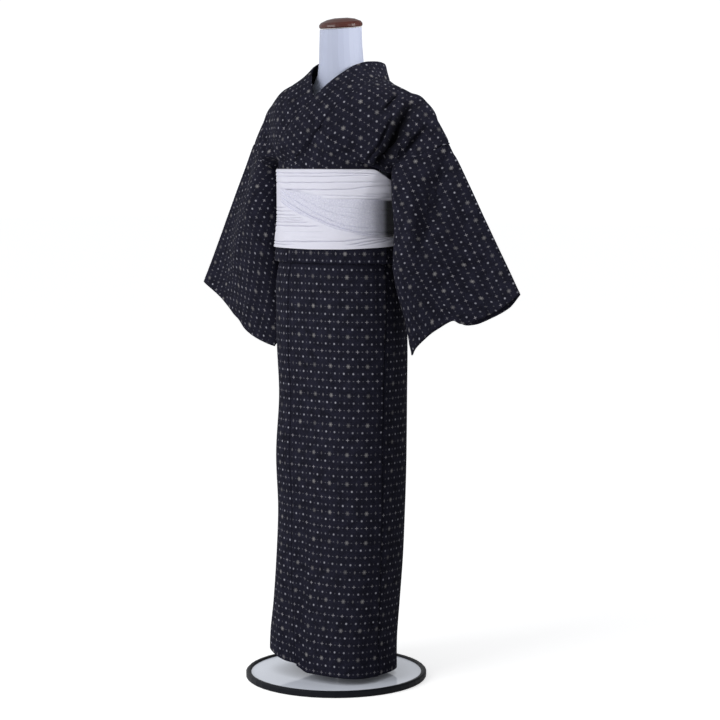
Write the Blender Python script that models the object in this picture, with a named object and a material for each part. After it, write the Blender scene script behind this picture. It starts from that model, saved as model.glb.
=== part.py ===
"""Cotton yukata robe, closed left over right and tied with its flat belt, on a
limbless dress form. Metres; +Z up, the front faces -Y, the wearer's left is +X.

Every cloth piece is a sheet P(across, along) evaluated on a grid and thickened.
Angles around the body are in degrees: 0 at the front, +90 at the wearer's left."""

import math

import bpy
import numpy as np

# ---------------------------------------------------------------- named sizes
CLOTH = 0.0011            # wall of single cotton
DOUBLE = 0.0020           # wall of the folded collar and of the belt
SEAM_GAP = 0.0010         # clear space left between two sewn edges
ON_STAND = np.array((0.009, 0.007, 0.016))   # garment heights are measured from the top of the base

# Cross-section of the wrapped cloth, innermost layer, against height
WRAP_COLUMNS = ("z", "half_width", "half_depth", "squareness", "shift_x", "shift_y")
WRAP = np.array([
    (0.000, 0.1370, 0.1040, 2.9, -0.0135, -0.0125),
    (0.075, 0.1365, 0.1040, 2.9, -0.0125, -0.0120),
    (0.155, 0.1350, 0.1030, 2.9, -0.0075, -0.0075),
    (0.276, 0.1360, 0.1025, 2.9, -0.0020, -0.0015),
    (0.350, 0.1370, 0.1030, 2.8, 0.0000, 0.0000),
    (0.480, 0.1410, 0.1060, 2.8, -0.0005, 0.0000),
    (0.610, 0.1390, 0.1035, 2.7, 0.0030, 0.0020),
    (0.720, 0.1430, 0.1060, 2.6, 0.0015, 0.0005),
    (0.820, 0.1440, 0.1070, 2.5, 0.0000, 0.0000),
    (0.860, 0.1430, 0.1060, 2.5, -0.0010, 0.0000),
    (0.900, 0.1370, 0.1010, 2.4, -0.0020, 0.0000),
    (0.960, 0.1320, 0.0970, 2.3, -0.0020, 0.0000),
    (1.000, 0.1295, 0.0950, 2.3, -0.0010, 0.0000),
    (1.100, 0.1305, 0.0960, 2.3, -0.0010, 0.0000),
    (1.160, 0.1370, 0.1020, 2.3, 0.0000, 0.0000),
])

# Where the long seams run round the body, against height
SEAM_COLUMNS = ("z", "left_okumi_seam", "side_seam", "okumi_free_edge")
SEAMS = np.array([
    (0.010, -9.0, 83.0, -76.0),
    (0.125, -17.0, 81.0, -84.0),
    (0.230, -26.0, 78.0, -92.0),
    (0.430, -29.0, 76.0, -97.0),
    (0.670, -33.0, 76.0, -100.0),
    (0.900, -31.0, 81.0, -98.0),
    (1.100, -31.0, 80.0, -98.0),
])

HEM_Z = 0.012
CORD_Z = 0.962            # the hidden cord over which the waist tuck is folded
TUCK_Z = 0.903            # lower fold of the waist tuck
BODICE_Z = 1.000          # hidden behind the belt: the wrap becomes the bodice
# Distance of the three plies of the waist tuck outside the innermost layer
PLIES_LEFT = (0.0030, 0.0056, 0.0138)
PLIES_RIGHT = (0.0000, 0.0082, 0.0106)
PLIES_BACK = (0.0015, 0.0060, 0.0106)

SHOULDER_RIDGE = np.array([   # x, y, z of the fold on top of the left shoulder
    (0.094, 0.006, 1.299), (0.130, 0.012, 1.283), (0.172, 0.017, 1.264),
    (0.214, 0.021, 1.241), (0.268, 0.026, 1.158)])
CUFF_TOP = np.array((0.437, 0.042, 0.845))

SLEEVE_WIDTH = 0.36
SLEEVE_DROP = 0.34
CUFF_OPENING = 0.20
ARMHOLE_GAP = 0.0020
ARMHOLE_ROWS, SLEEVE_ROWS = 9, 13   # rows of the grids down the armhole and down the sleeve
ROW_CROWDING = 1.6                  # rows crowd towards the fold on top of the arm
# Outer edge of each sleeve as it hangs, in the plane of the arms
CUFF_COLUMNS = ("along_edge", "left_x", "left_z", "right_x", "right_z")
CUFF_EDGE = np.array([
    (0.00, 0.437, 0.845, 0.437, 0.842),
    (0.05, 0.406, 0.820, 0.412, 0.828),
    (0.10, 0.368, 0.799, 0.378, 0.807),
    (0.15, 0.333, 0.784, 0.345, 0.786),
    (0.18, 0.312, 0.782, 0.325, 0.772),
    (0.20, 0.300, 0.790, 0.310, 0.765),
    (0.25, 0.262, 0.771, 0.283, 0.742),
    (0.30, 0.225, 0.740, 0.235, 0.721),
    (0.34, 0.190, 0.710, 0.196, 0.709),
])
FOLD_X = 0.208            # where the hanging sleeve turns back beside the body
FOLD_RADIUS = 0.030
FOLD_TURN = math.radians(97)
FORWARD = 0.080           # how far the sleeve stands forward of the shoulder there
# The left sleeve's fold swells forward again at hip height (height, further forward)
SWELL_Z = (0.700, 0.712, 0.731, 0.763, 0.799, 0.837, 0.865, 0.894, 0.932, 0.985, 1.050)
SWELL = (0.0, 0.0, 0.0069, 0.0120, 0.0189, 0.0292, 0.0315, 0.0309, 0.0172, 0.002, 0.0)


# -------------------------------------------------------------- small helpers
def smooth(x, a=0.0, b=1.0):
    x = np.clip((np.asarray(x, float) - a) / (b - a), 0.0, 1.0)
    return x * x * (3 - 2 * x)


def look_up(table, columns, name, x):
    return np.interp(x, table[:, 0], table[:, columns.index(name)])


def spline(knots, values, x):
    """Cubic through the values, with the slopes of its neighbours (no overshoot at the ends)."""
    knots, values, x = np.asarray(knots, float), np.asarray(values, float), np.asarray(x, float)
    slope = np.gradient(values, knots, axis=0)
    i = np.clip(np.searchsorted(knots, x, side="right") - 1, 0, len(knots) - 2)
    width = knots[i + 1] - knots[i]
    f = (x - knots[i]) / width
    shape = f.shape + (1,) * (values.ndim - 1)
    f, width = f.reshape(shape), width.reshape(shape)
    return ((2 * f**3 - 3 * f**2 + 1) * values[i] + (f**3 - 2 * f**2 + f) * width * slope[i]
            + (3 * f**2 - 2 * f**3) * values[i + 1] + (f**3 - f**2) * width * slope[i + 1])


# ------------------------------------------------------------ the wrapped part
def wrap(degrees, z, offset):
    """Point on the wrapped cross-section, moved out by offset along its normal."""
    degrees, z, offset = np.broadcast_arrays(*(np.asarray(v, float) for v in (degrees, z, offset)))
    a, b, n, cx, cy = (look_up(WRAP, WRAP_COLUMNS, c, z) for c in WRAP_COLUMNS[1:])
    s, c = np.sin(np.radians(degrees)), -np.cos(np.radians(degrees))
    r = (np.abs(s / a) ** n + np.abs(c / b) ** n) ** (-1 / n)
    x, y = r * s, r * c
    nx = np.sign(x) * np.abs(x / a) ** (n - 1) / a
    ny = np.sign(y) * np.abs(y / b) ** (n - 1) / b
    length = np.hypot(nx, ny)
    return np.stack([cx + x + offset * nx / length, cy + y + offset * ny / length, z + 0 * x], -1)


def plies(side, degrees):
    """The three offsets of a panel of this side at this angle."""
    front = np.array(PLIES_LEFT if side > 0 else PLIES_RIGHT)
    blend = smooth(np.abs(degrees), 106, 176)[..., None]
    return front * (1 - blend) + np.array(PLIES_BACK) * blend


def hem_z(degrees):
    """Height of the hem: it rises towards the overlap's edge on the wearer's right, and is level behind."""
    rise = 0.017 * smooth(-degrees, -6, 14) + 0.010 * smooth(-degrees, 20, 55)
    rise = rise * (1 - smooth(-degrees, 105, 150))
    return HEM_Z - 0.004 * smooth(degrees, 20, 70) + 0.006 * smooth(-degrees, 20, 80) + rise


def tuck_path():
    """(ply blend 0..2, height) down the path from hem to bodice: skirt, turn, middle ply, turn, outer ply."""
    rows = [("skirt", z) for z in (0.0, 0.16, 0.34, 0.52, 0.68, 0.80, 0.88, 0.94)]
    rows += [("cord", t) for t in (0, 45, 90, 135, 180)]
    rows += [("middle", t) for t in (0.5,)]
    rows += [("tuck", t) for t in (0, 45, 90, 135, 180)]
    rows += [("outer", z) for z in (0.925, 0.955)]
    return rows


def wrapped_row(kind, value, side, degrees_at, u):
    """Points of one row of a wrapped sheet; degrees_at(u, z) gives the angle of each column."""
    def place(z, pick):
        degrees = degrees_at(u, z)
        p = plies(side, degrees)
        return wrap(degrees, z, pick(p))
    if kind == "skirt":
        low = hem_z(degrees_at(u, HEM_Z))
        z = low + value * (CORD_Z - low)
        return place(z, lambda p: p[..., 0])
    if kind == "middle":
        z = np.full(u.shape, CORD_Z + (TUCK_Z - CORD_Z) * value)
        return place(z, lambda p: p[..., 1])
    if kind == "outer":
        return place(np.full(u.shape, value), lambda p: p[..., 2])
    inner, outer, base = (0, 1, CORD_Z) if kind == "cord" else (1, 2, TUCK_Z)
    degrees = degrees_at(u, base)
    p = plies(side, degrees)
    middle, radius = (p[..., inner] + p[..., outer]) / 2, (p[..., outer] - p[..., inner]) / 2
    turn = math.radians(value)
    up = 1 if kind == "cord" else -1
    lift = 0 if kind == "cord" else 0.004
    z = base + lift + up * radius * math.sin(turn)
    return wrap(degrees, z, middle - radius * math.cos(turn))


# ------------------------------------------------------------------ the sleeve
RIDGE_END = SHOULDER_RIDGE[-1]


def sleeve(side, across, drop, back):
    """Point of the sleeve's front (back = 0) or back (1) cloth; across from the armhole seam, drop from the ridge.
    For the right sleeve the result is already mirrored."""
    across, drop = np.broadcast_arrays(np.asarray(across, float), np.asarray(drop, float))
    f = across / SLEEVE_WIDTH
    ridge = RIDGE_END + f[..., None] * (CUFF_TOP - RIDGE_END)
    name = "left" if side > 0 else "right"
    edge_x = look_up(CUFF_EDGE, CUFF_COLUMNS, name + "_x", drop) - CUFF_EDGE[0, 1]
    edge_z = look_up(CUFF_EDGE, CUFF_COLUMNS, name + "_z", drop) - CUFF_EDGE[0, 2]
    hang = smooth(f, 0.0, 1.25) * 0.95 + 0.05 * f
    q = ridge[..., 0] + (1 - hang) * -0.87 * drop + hang * edge_x
    z = ridge[..., 2] + (1 - hang) * -0.49 * drop + hang * edge_z
    # turn back beside the body, about an upright line
    d = np.clip(FOLD_X - q, 0, None)
    a = np.clip(d / FOLD_RADIUS, 0, FOLD_TURN)
    rest = np.clip(d - FOLD_RADIUS * FOLD_TURN, 0, None)
    x = np.where(d > 0, FOLD_X - FOLD_RADIUS * np.sin(a) - rest * math.cos(FOLD_TURN), q)
    y = ridge[..., 1] + FOLD_RADIUS * (1 - np.cos(a)) + rest * math.sin(FOLD_TURN)
    stand = smooth(drop, 0.0, 0.13) * smooth(0.40 - q, 0.0, 0.17)
    y = y - FORWARD * stand * (1 - 0.45 * smooth(1.05 - z, 0.0, 0.33))
    if side > 0:
        y = y - np.interp(z, SWELL_Z, SWELL) * smooth(drop, 0.0, 0.13) * smooth(0.28 - q, 0.0, 0.07)
    # open the bag: the two cloths stand apart by a rounded gap, and meet at the closed edges
    tau = np.clip(drop / SLEEVE_DROP, 0, 1)
    belly = 2.2 * np.sqrt(tau) * (1 - tau) ** 1.3
    gap = 0.0013 * smooth(tau, 0, 0.02) + (0.019 - 0.010 * f) * belly
    n = np.stack([-np.sin(a), -np.cos(a)], -1)
    sign = -1 if back else 1
    x = x + sign * gap * n[..., 0]
    y = y + sign * gap * n[..., 1]
    if back:      # the back cloth hangs a little lower at the cuff
        z = z - 0.006 * smooth(f, 0.5, 1.0) * smooth(tau, 0, 0.15) * smooth(1 - tau, 0.35, 0.6)
    return np.stack([side * x, y, z], -1)


# -------------------------------------------------- angles of the panel columns
GAP_DEGREES = math.degrees(SEAM_GAP / 2 / 0.14)


def seam_degrees(name, z):
    return look_up(SEAMS, SEAM_COLUMNS, name, z)


def front_degrees(u, z):
    """Left front panel: okumi seam to side seam. The right panel mirrors the angle."""
    a, b = seam_degrees("left_okumi_seam", z) + GAP_DEGREES, seam_degrees("side_seam", z) - GAP_DEGREES
    return a + (b - a) * np.asarray(u, float)


def back_degrees(u, z):
    """Left back: centre back seam to side seam."""
    a, b = 180 - GAP_DEGREES, seam_degrees("side_seam", z) + GAP_DEGREES
    return a + (b - a) * np.asarray(u, float)


def okumi_degrees(u, z, outer_ply=False):
    """Left okumi: its seam to its free edge, which gives way to the collar behind the belt."""
    a, b = seam_degrees("left_okumi_seam", z) - GAP_DEGREES, seam_degrees("okumi_free_edge", z)
    if outer_ply:
        b = np.interp(z, (0.925, 1.000), (-97.0, -58.0)) + GAP_DEGREES
    return a + (b - a) * np.asarray(u, float)


# ------------------------------------------------------------------ the bodice
LINES = (0.0, 0.25, 0.5, 0.75, 0.93, 1.0)      # lines across the panel, inner edge to armhole
BELT_STEP, FREE_STEP = 0.22, 0.42        # where a line leaves the belt, and where the armhole starts
STEPS = (0.0, BELT_STEP, FREE_STEP, FREE_STEP + 0.58 / 3, FREE_STEP + 1.16 / 3, 1.0)
ROWS = (0.0, 0.11, BELT_STEP, 0.286, 0.352) + tuple(FREE_STEP + 0.58 * i / ARMHOLE_ROWS for i in range(ARMHOLE_ROWS + 1))
BELT_EXIT_Z = 1.118
FRONT_LINES = ("collar_seam", "chest", "armpit_fold", "outer_fold", "beside_armhole", "armhole")
FRONT_BELT_DEGREES = (-10.0, 18.0, 42.0, 59.0, 69.8, 74.0)     # where each line leaves the top of the belt
FRONT_BODICE = np.array([                                # the next three steps up each line
    [(0.036, -0.1200, 1.190), (0.075, -0.100, 1.243), (0.098, -0.055, 1.279)],
    [(0.076, -0.1185, 1.165), (0.112, -0.094, 1.222), (0.130, -0.050, 1.266)],
    [(0.122, -0.0870, 1.145), (0.150, -0.065, 1.187), (0.169, -0.036, 1.236)],
    [(0.170, -0.0680, 1.122), (0.192, -0.052, 1.155), (0.200, -0.022, 1.208)],
])
BACK_LINES = ("centre_seam_and_neck", "blade", "shoulder", "outer_fold", "beside_armhole", "armhole")
BACK_BELT_DEGREES = (180.0, 150.0, 130.0, 117.0, 109.1, 106.0)
BACK_BODICE = np.array([
    [(0.000, 0.1160, 1.200), (0.000, 0.1120, 1.280), (0.070, 0.083, 1.291)],
    [(0.074, 0.1130, 1.170), (0.086, 0.1050, 1.235), (0.113, 0.066, 1.270)],
    [(0.134, 0.0950, 1.150), (0.152, 0.0830, 1.195), (0.168, 0.056, 1.242)],
    [(0.184, 0.0760, 1.135), (0.206, 0.0700, 1.170), (0.217, 0.052, 1.212)],
])
UNDER = np.array([0, 0.0, 0.0075, 0.0060, 0.0024, 0])    # how far the right front lies under the left
UNDER_FADE = np.array([1, 1, 0.7, 0.3, 0, 0])
BESIDE = 0.014                       # the last line but one runs on along the sleeve's own cloth
UNDERARM_LIFT = 0.006                # the free edge under the arm bulges out over the belt
UNDERARM_DROOP = 0.018               # and on the left front the cloth sags over the belt's upper edge


def armhole(step, back, away=ARMHOLE_GAP):
    """The left armhole seam as the sleeve has it, moved off the sleeve by the seam gap."""
    drop = SLEEVE_DROP * (np.clip((1 - np.asarray(step, float)) / 0.58, 0, 1) * ARMHOLE_ROWS / SLEEVE_ROWS) ** ROW_CROWDING
    here, ahead = sleeve(1, 0.0, drop, back), sleeve(1, 0.004, drop, back)
    d = here - ahead
    return here + away * d / np.linalg.norm(d, axis=-1, keepdims=True)


def behind_belt(side, u, step, back):
    """Points of the bodice between its start and the top of the belt, on the wrapped form."""
    angle = back_degrees if back else front_degrees
    belt = BACK_BELT_DEGREES if back else FRONT_BELT_DEGREES
    f = np.asarray(step, float)[:, None] / BELT_STEP
    degrees = side * (angle(u, BODICE_Z) * (1 - f) + np.interp(u, LINES, belt) * f)
    z = BODICE_Z + (BELT_EXIT_Z - BODICE_Z) * f + 0 * degrees
    return wrap(degrees, z, plies(side, degrees)[..., 2]) * (side, 1, 1)


def bodice_grid(side, back):
    grid = np.zeros((6, 6, 3))
    grid[:, :2] = np.moveaxis(behind_belt(side, np.array(LINES), np.array((0.0, BELT_STEP)), back), 0, 1)
    grid[:4, 2:5] = BACK_BODICE if back else FRONT_BODICE
    grid[:4, 5] = SHOULDER_RIDGE[:4]
    grid[4, 2:] = armhole(STEPS[2:], back, BESIDE)
    grid[5, 2:] = armhole(STEPS[2:], back)
    if side < 0 and not back:
        grid[..., 1] += UNDER[None, :] * UNDER_FADE[:, None]
    return grid


def bodice(side, u, step, back):
    """Points (step, u) of the body panel above the belt; u from the inner edge, step up to the ridge."""
    u, step = np.atleast_1d(np.asarray(u, float)), np.atleast_1d(np.asarray(step, float))
    across = spline(LINES, bodice_grid(side, back), u)
    rows = spline(STEPS, np.moveaxis(across, 1, 0), step)
    free = np.clip((step - BELT_STEP) / (FREE_STEP - BELT_STEP), 0, 1)[:, None, None]
    if side > 0 and not back:
        share = np.sin(np.pi * np.minimum(free / 0.8, 1)) * (smooth(u, 0.5, 0.82) - 0.7 * smooth(u, 0.85, 1.0))[:, None]
        rows = rows + share * (0.005, -0.002, -UNDERARM_DROOP)
    else:
        rows = rows + np.sin(np.pi * free) * smooth(u, 0.6, 1.0)[:, None] * (UNDERARM_LIFT, 0, UNDERARM_LIFT)
    low = step <= BELT_STEP
    rows[low] = behind_belt(side, u, step[low], back)
    seam = armhole(step, back)
    rows = np.where((u == 1)[None, :, None] & (step >= FREE_STEP)[:, None, None], seam[:, None], rows)
    if back:
        rows[..., 0] = np.maximum(rows[..., 0], SEAM_GAP / 2)
    return rows * (side, 1, 1)


# ------------------------------------------------------------------ the collar
# Free edge of the collar's left half, nape to belt; its other edge follows the seam of the body panel
COLLAR_COLUMNS = ("edge_x", "edge_y", "edge_z")
COLLAR_BACK = np.array([          # body rows 3 to 8 above the belt, from the nape forward
    (0.0000, 0.1100, 1.3200), (0.0240, 0.1085, 1.3220), (0.0470, 0.0975, 1.3265),
    (0.0600, 0.0780, 1.3300), (0.0650, 0.0530, 1.3330), (0.0650, 0.0280, 1.3330)])
COLLAR_FRONT = np.array([         # rows 9 to 0, from the ridge down to the top of the overlap strip
    (0.0620, 0.0040, 1.3310), (0.0550, -0.0240, 1.3230), (0.0450, -0.0460, 1.3100), (0.0330, -0.0635, 1.2960),
    (0.0220, -0.0770, 1.2820), (0.0110, -0.0870, 1.2680), (-0.0010, -0.0970, 1.2530), (-0.0140, -0.1050, 1.2370),
    (-0.0265, -0.1130, 1.2215), (-0.0400, -0.1195, 1.2050)])
COLLAR_LOW_SEAM = np.array([(-0.002, -0.1220, 1.152), (-0.020, -0.1175, 1.135)])
COLLAR_LOW_EDGE = np.array([(-0.073, -0.1175, 1.165), (-0.0998, -0.1052, 1.142)])
COLLAR_LOW_UNDER = np.array([0.0088, 0.0102])
COLLAR_BELLY = (0.0,) * 9 + (0.0005, 0.001, 0.0015, 0.002, 0.003, 0.004, 0.005, 0.006, 0.005)   # outward, at mid width
COLLAR_TAIL_COLUMNS = ("z", "seam_degrees", "edge_degrees")
COLLAR_TAIL = np.array([(BELT_EXIT_Z, -24.0, -55.0), (1.094, -29.7, -60.0), (1.075, -35.3, -65.0),
                        (1.056, -41.0, -70.0), (1.038, -46.7, -74.0), (1.020, -52.3, -78.0), (1.002, -58.0, -82.0)])


def collar_half(side):
    """(seam edge, free edge) rows of half the collar, nape to tail, before the seam gap."""
    back_rows, front_rows = np.array(ROWS[8:14]), np.array(ROWS[14:4:-1])
    seam = np.concatenate([bodice(side, 0.0, back_rows, True)[:, 0], bodice(side, 0.0, front_rows, False)[:, 0],
                           COLLAR_LOW_SEAM * (side, 1, 1)])
    edge = np.concatenate([COLLAR_BACK, COLLAR_FRONT, COLLAR_LOW_EDGE]) * (side, 1, 1)
    if side < 0:
        edge[len(COLLAR_BACK):-2, 1] += np.interp(front_rows, STEPS, UNDER)
        seam[-2:, 1] += COLLAR_LOW_UNDER
        edge[-2:, 1] += COLLAR_LOW_UNDER
    offset = PLIES_LEFT[2] if side > 0 else PLIES_RIGHT[2]
    z, a, b = COLLAR_TAIL.T
    return np.concatenate([seam, wrap(side * a, z, offset)]), np.concatenate([edge, wrap(side * b, z, offset)])


def collar_tail_wrap(side, row, v):
    """Point of the collar's tail behind the belt, laid on the wrapped form."""
    z, a, b = COLLAR_TAIL[row]
    inset = math.degrees(SEAM_GAP / 0.13)
    return wrap(side * (a - inset + (b - a + inset) * v), z, PLIES_LEFT[2] if side > 0 else PLIES_RIGHT[2])


def collar(across=7):
    v = np.linspace(0, 1, across)
    halves = []
    for side in (1, -1):
        seam, edge = collar_half(side)
        d = edge - seam
        seam = seam + SEAM_GAP * d / np.linalg.norm(d, axis=-1, keepdims=True)
        grid = seam[:, None] * (1 - v[:, None]) + edge[:, None] * v[:, None]
        belly = np.zeros(len(seam))
        belly[:len(COLLAR_BELLY)] = COLLAR_BELLY
        if side > 0:
            grid[..., 1] -= belly[:, None] * 4 * v * (1 - v)
        for i in range(len(COLLAR_TAIL)):
            grid[i - len(COLLAR_TAIL)] = collar_tail_wrap(side, i, v)
        halves.append(grid)
    return np.concatenate([halves[0][::-1], halves[1][1:]])


# --------------------------------------------------------------- whole sheets
def half_panel(side, back, u, steps):
    """Rows of a body panel from the hem up to the ridge."""
    angle = back_degrees if back else front_degrees
    rows = [wrapped_row(kind, value, side, lambda c, z: side * angle(c, z), u) for kind, value in tuck_path()]
    return np.concatenate([np.array(rows), bodice(side, u, steps, back)])


def body_panel(side, columns=11):
    u, steps = np.linspace(0, 1, columns), np.array(ROWS)
    front, back = half_panel(side, False, u, steps), half_panel(side, True, u, steps)
    return np.concatenate([front, back[::-1][1:]])


def okumi(side, columns=9):
    u = np.linspace(0, 1, columns)
    rows = []
    for kind, value in tuck_path():
        outer = kind == "outer"
        heights = (0.925, 0.940) if outer and value == 0.925 else (0.955, 0.970, 0.985) if outer else (value,)
        for v in heights:
            rows.append(wrapped_row(kind, v, side, lambda c, z: side * okumi_degrees(c, z, outer), u))
    low_degrees = seam_degrees("left_okumi_seam", BODICE_Z)
    for z, b, _ in COLLAR_TAIL[::-1]:             # behind the belt
        f = (z - BODICE_Z) / (BELT_EXIT_Z - BODICE_Z)
        a = low_degrees * (1 - f) + FRONT_BELT_DEGREES[0] * f - GAP_DEGREES
        b = b + GAP_DEGREES
        rows.append(wrap(side * (a + (b - a) * u), z, PLIES_LEFT[2] if side > 0 else PLIES_RIGHT[2]))
    body_edge = bodice(side, 0.0, np.array(ROWS[2:6]), False)[:, 0]
    first = len(COLLAR_BACK) + len(COLLAR_FRONT)
    collar_edge = collar_half(side)[0][[first + 2, first + 1, first, first - 1]]
    c = u[:, None]
    for t in (0.33, 0.66, 0.93):                  # narrowing to a point between body and collar
        seam = np.stack([np.interp(t, (0, 0.33, 0.66, 1), body_edge[:, k]) for k in range(3)])
        edge = np.stack([np.interp(t, (0, 0.33, 0.66, 1), collar_edge[:, k]) for k in range(3)])
        away = 2 * SEAM_GAP * (edge - seam) / np.linalg.norm(edge - seam)
        rows.append((seam + away) * (1 - c) + (edge - away) * c)
    return np.array(rows)


def sleeve_sheet(side, columns=17):
    across = np.linspace(0, SLEEVE_WIDTH, columns)
    share = np.linspace(0, 1, SLEEVE_ROWS + 1) ** ROW_CROWDING
    front = [sleeve(side, across, SLEEVE_DROP * s, False) for s in share[::-1]]
    back = [sleeve(side, across, SLEEVE_DROP * s, True) for s in share[1:]]
    return np.array(front + back)


# -------------------------------------------------------------------- the belt
BELT_ROWS, BELT_OFFSET = (0.9345, 0.965, 1.000, 1.102), 0.0174


def belt_ring(columns=48):
    degrees = np.linspace(-180, 180, columns + 1)[:-1]
    return np.array([wrap(degrees, z, BELT_OFFSET) for z in BELT_ROWS])


# The belt's folded-over layer, from its start on the wearer's right round to the left side
FOLD_COLUMNS = ("degrees", "low_z", "high_z")
BELT_FOLD = np.array([
    (-49.0, 1.0340, 1.0620), (-32.0, 1.0200, 1.0590), (-17.5, 1.0096, 1.0560), (10.5, 0.9928, 1.0490),
    (36.5, 0.9752, 1.0440), (52.5, 0.9664, 1.0410), (62.5, 0.9616, 1.0400), (86.5, 0.9608, 1.0400),
    (110.0, 0.9620, 1.0400), (149.0, 0.9680, 1.0400)])
FOLD_OFFSET = 0.0206
# The flat knot at the back: a loop of belt lying on the belt, behind the centre seam
KNOT = {"half_width": 0.075, "low": 0.958, "high": 1.078, "inner": 0.0206, "outer": 0.0320}


def belt_fold(columns=25, rows=4):
    degrees = np.linspace(BELT_FOLD[0, 0], BELT_FOLD[-1, 0], columns)
    low, high = (look_up(BELT_FOLD, FOLD_COLUMNS, c, degrees) for c in FOLD_COLUMNS[1:])
    return np.array([wrap(degrees, low + (high - low) * t, FOLD_OFFSET) for t in np.linspace(0, 1, rows)])


def knot_ring(columns=9, flat=3, turn=4):
    """The loop's section, inner face up and outer face down, with round turns, against the belt at the back."""
    radius = (KNOT["outer"] - KNOT["inner"]) / 2
    middle = KNOT["inner"] + radius
    low, high = KNOT["low"] + radius, KNOT["high"] - radius
    section = [(KNOT["inner"], low + (high - low) * t) for t in np.linspace(0, 1, flat + 1)]
    section += [(middle - radius * math.cos(a), high + radius * math.sin(a)) for a in np.linspace(0, math.pi, turn + 1)[1:-1]]
    section += [(KNOT["outer"], high + (low - high) * t) for t in np.linspace(0, 1, flat + 1)]
    section += [(middle + radius * math.cos(a), low - radius * math.sin(a)) for a in np.linspace(0, math.pi, turn + 1)[1:-1]]
    half = math.degrees(KNOT["half_width"] / 0.155)
    degrees = 180 + np.linspace(-half, half, columns)
    return np.array([wrap(degrees, z, offset) for offset, z in section])


# -------------------------------------------------------------- the dress form
FORM_COLUMNS = ("z", "half_width", "half_depth", "shift_y")
FORM = np.array([
    (0.640, 0.085, 0.065, 0.000), (0.655, 0.102, 0.078, 0.000), (0.700, 0.118, 0.088, 0.000),
    (0.780, 0.126, 0.092, 0.000), (0.880, 0.120, 0.088, 0.000), (0.960, 0.112, 0.082, 0.000),
    (1.040, 0.114, 0.084, 0.000), (1.110, 0.122, 0.090, 0.000), (1.160, 0.131, 0.091, 0.000),
    (1.200, 0.140, 0.082, 0.004), (1.225, 0.148, 0.068, 0.008), (1.242, 0.144, 0.058, 0.010),
    (1.256, 0.122, 0.054, 0.010), (1.270, 0.094, 0.052, 0.008), (1.285, 0.070, 0.050, 0.006),
    (1.305, 0.055, 0.049, 0.004), (1.330, 0.049, 0.048, 0.002), (1.370, 0.0465, 0.0465, 0.000),
    (1.404, 0.0455, 0.0455, 0.000)])
CAP_TILT = 0.10           # the neck is cut on a slant, lower at the front
DISC_RADIUS, RIM_INNER, RIM_HEIGHT, GLASS = 0.1885, 0.1890, 0.014, 0.010
POLE_RADIUS = 0.0125


# --------------------------------------------------------------- the materials
MATERIALS = {    # name: (linear colour, roughness, metallic)
    "printed_cotton": ((0.016, 0.017, 0.028), 0.85, 0.0),
    "belt_cloth": ((0.74, 0.74, 0.84), 0.55, 0.0),
    "form_cloth": ((0.62, 0.64, 0.72), 0.80, 0.0),
    "cap_wood": ((0.17, 0.09, 0.045), 0.35, 0.0),
    "pole_steel": ((0.50, 0.50, 0.52), 0.30, 1.0),
    "base_glass": ((0.62, 0.70, 0.74), 0.06, 0.0),
    "rim_rubber": ((0.012, 0.012, 0.013), 0.60, 0.0),
}


def material(name):
    if name in bpy.data.materials:
        return bpy.data.materials[name]
    made = bpy.data.materials.new(name)
    made.use_nodes = True
    colour, roughness, metallic = MATERIALS[name]
    shader = made.node_tree.nodes["Principled BSDF"]
    shader.inputs["Base Color"].default_value = (*colour, 1.0)
    shader.inputs["Roughness"].default_value = roughness
    shader.inputs["Metallic"].default_value = metallic
    return made


# ------------------------------------------------------------- making the mesh
def add_mesh(name, points, faces, smooth_shade=True):
    if not name.startswith("base"):
        points = np.asarray(points) + ON_STAND
    mesh = bpy.data.meshes.new(name)
    mesh.from_pydata([tuple(map(float, p)) for p in points], [], faces)
    mesh.update()
    obj = bpy.data.objects.new(name, mesh)
    bpy.context.scene.collection.objects.link(obj)
    for polygon in mesh.polygons:
        polygon.use_smooth = smooth_shade
    return obj


def volume_of(points, faces):
    total = 0.0
    for f in faces:
        for i in range(1, len(f) - 1):
            total += np.dot(points[f[0]], np.cross(points[f[i]], points[f[i + 1]]))
    return total


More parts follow.
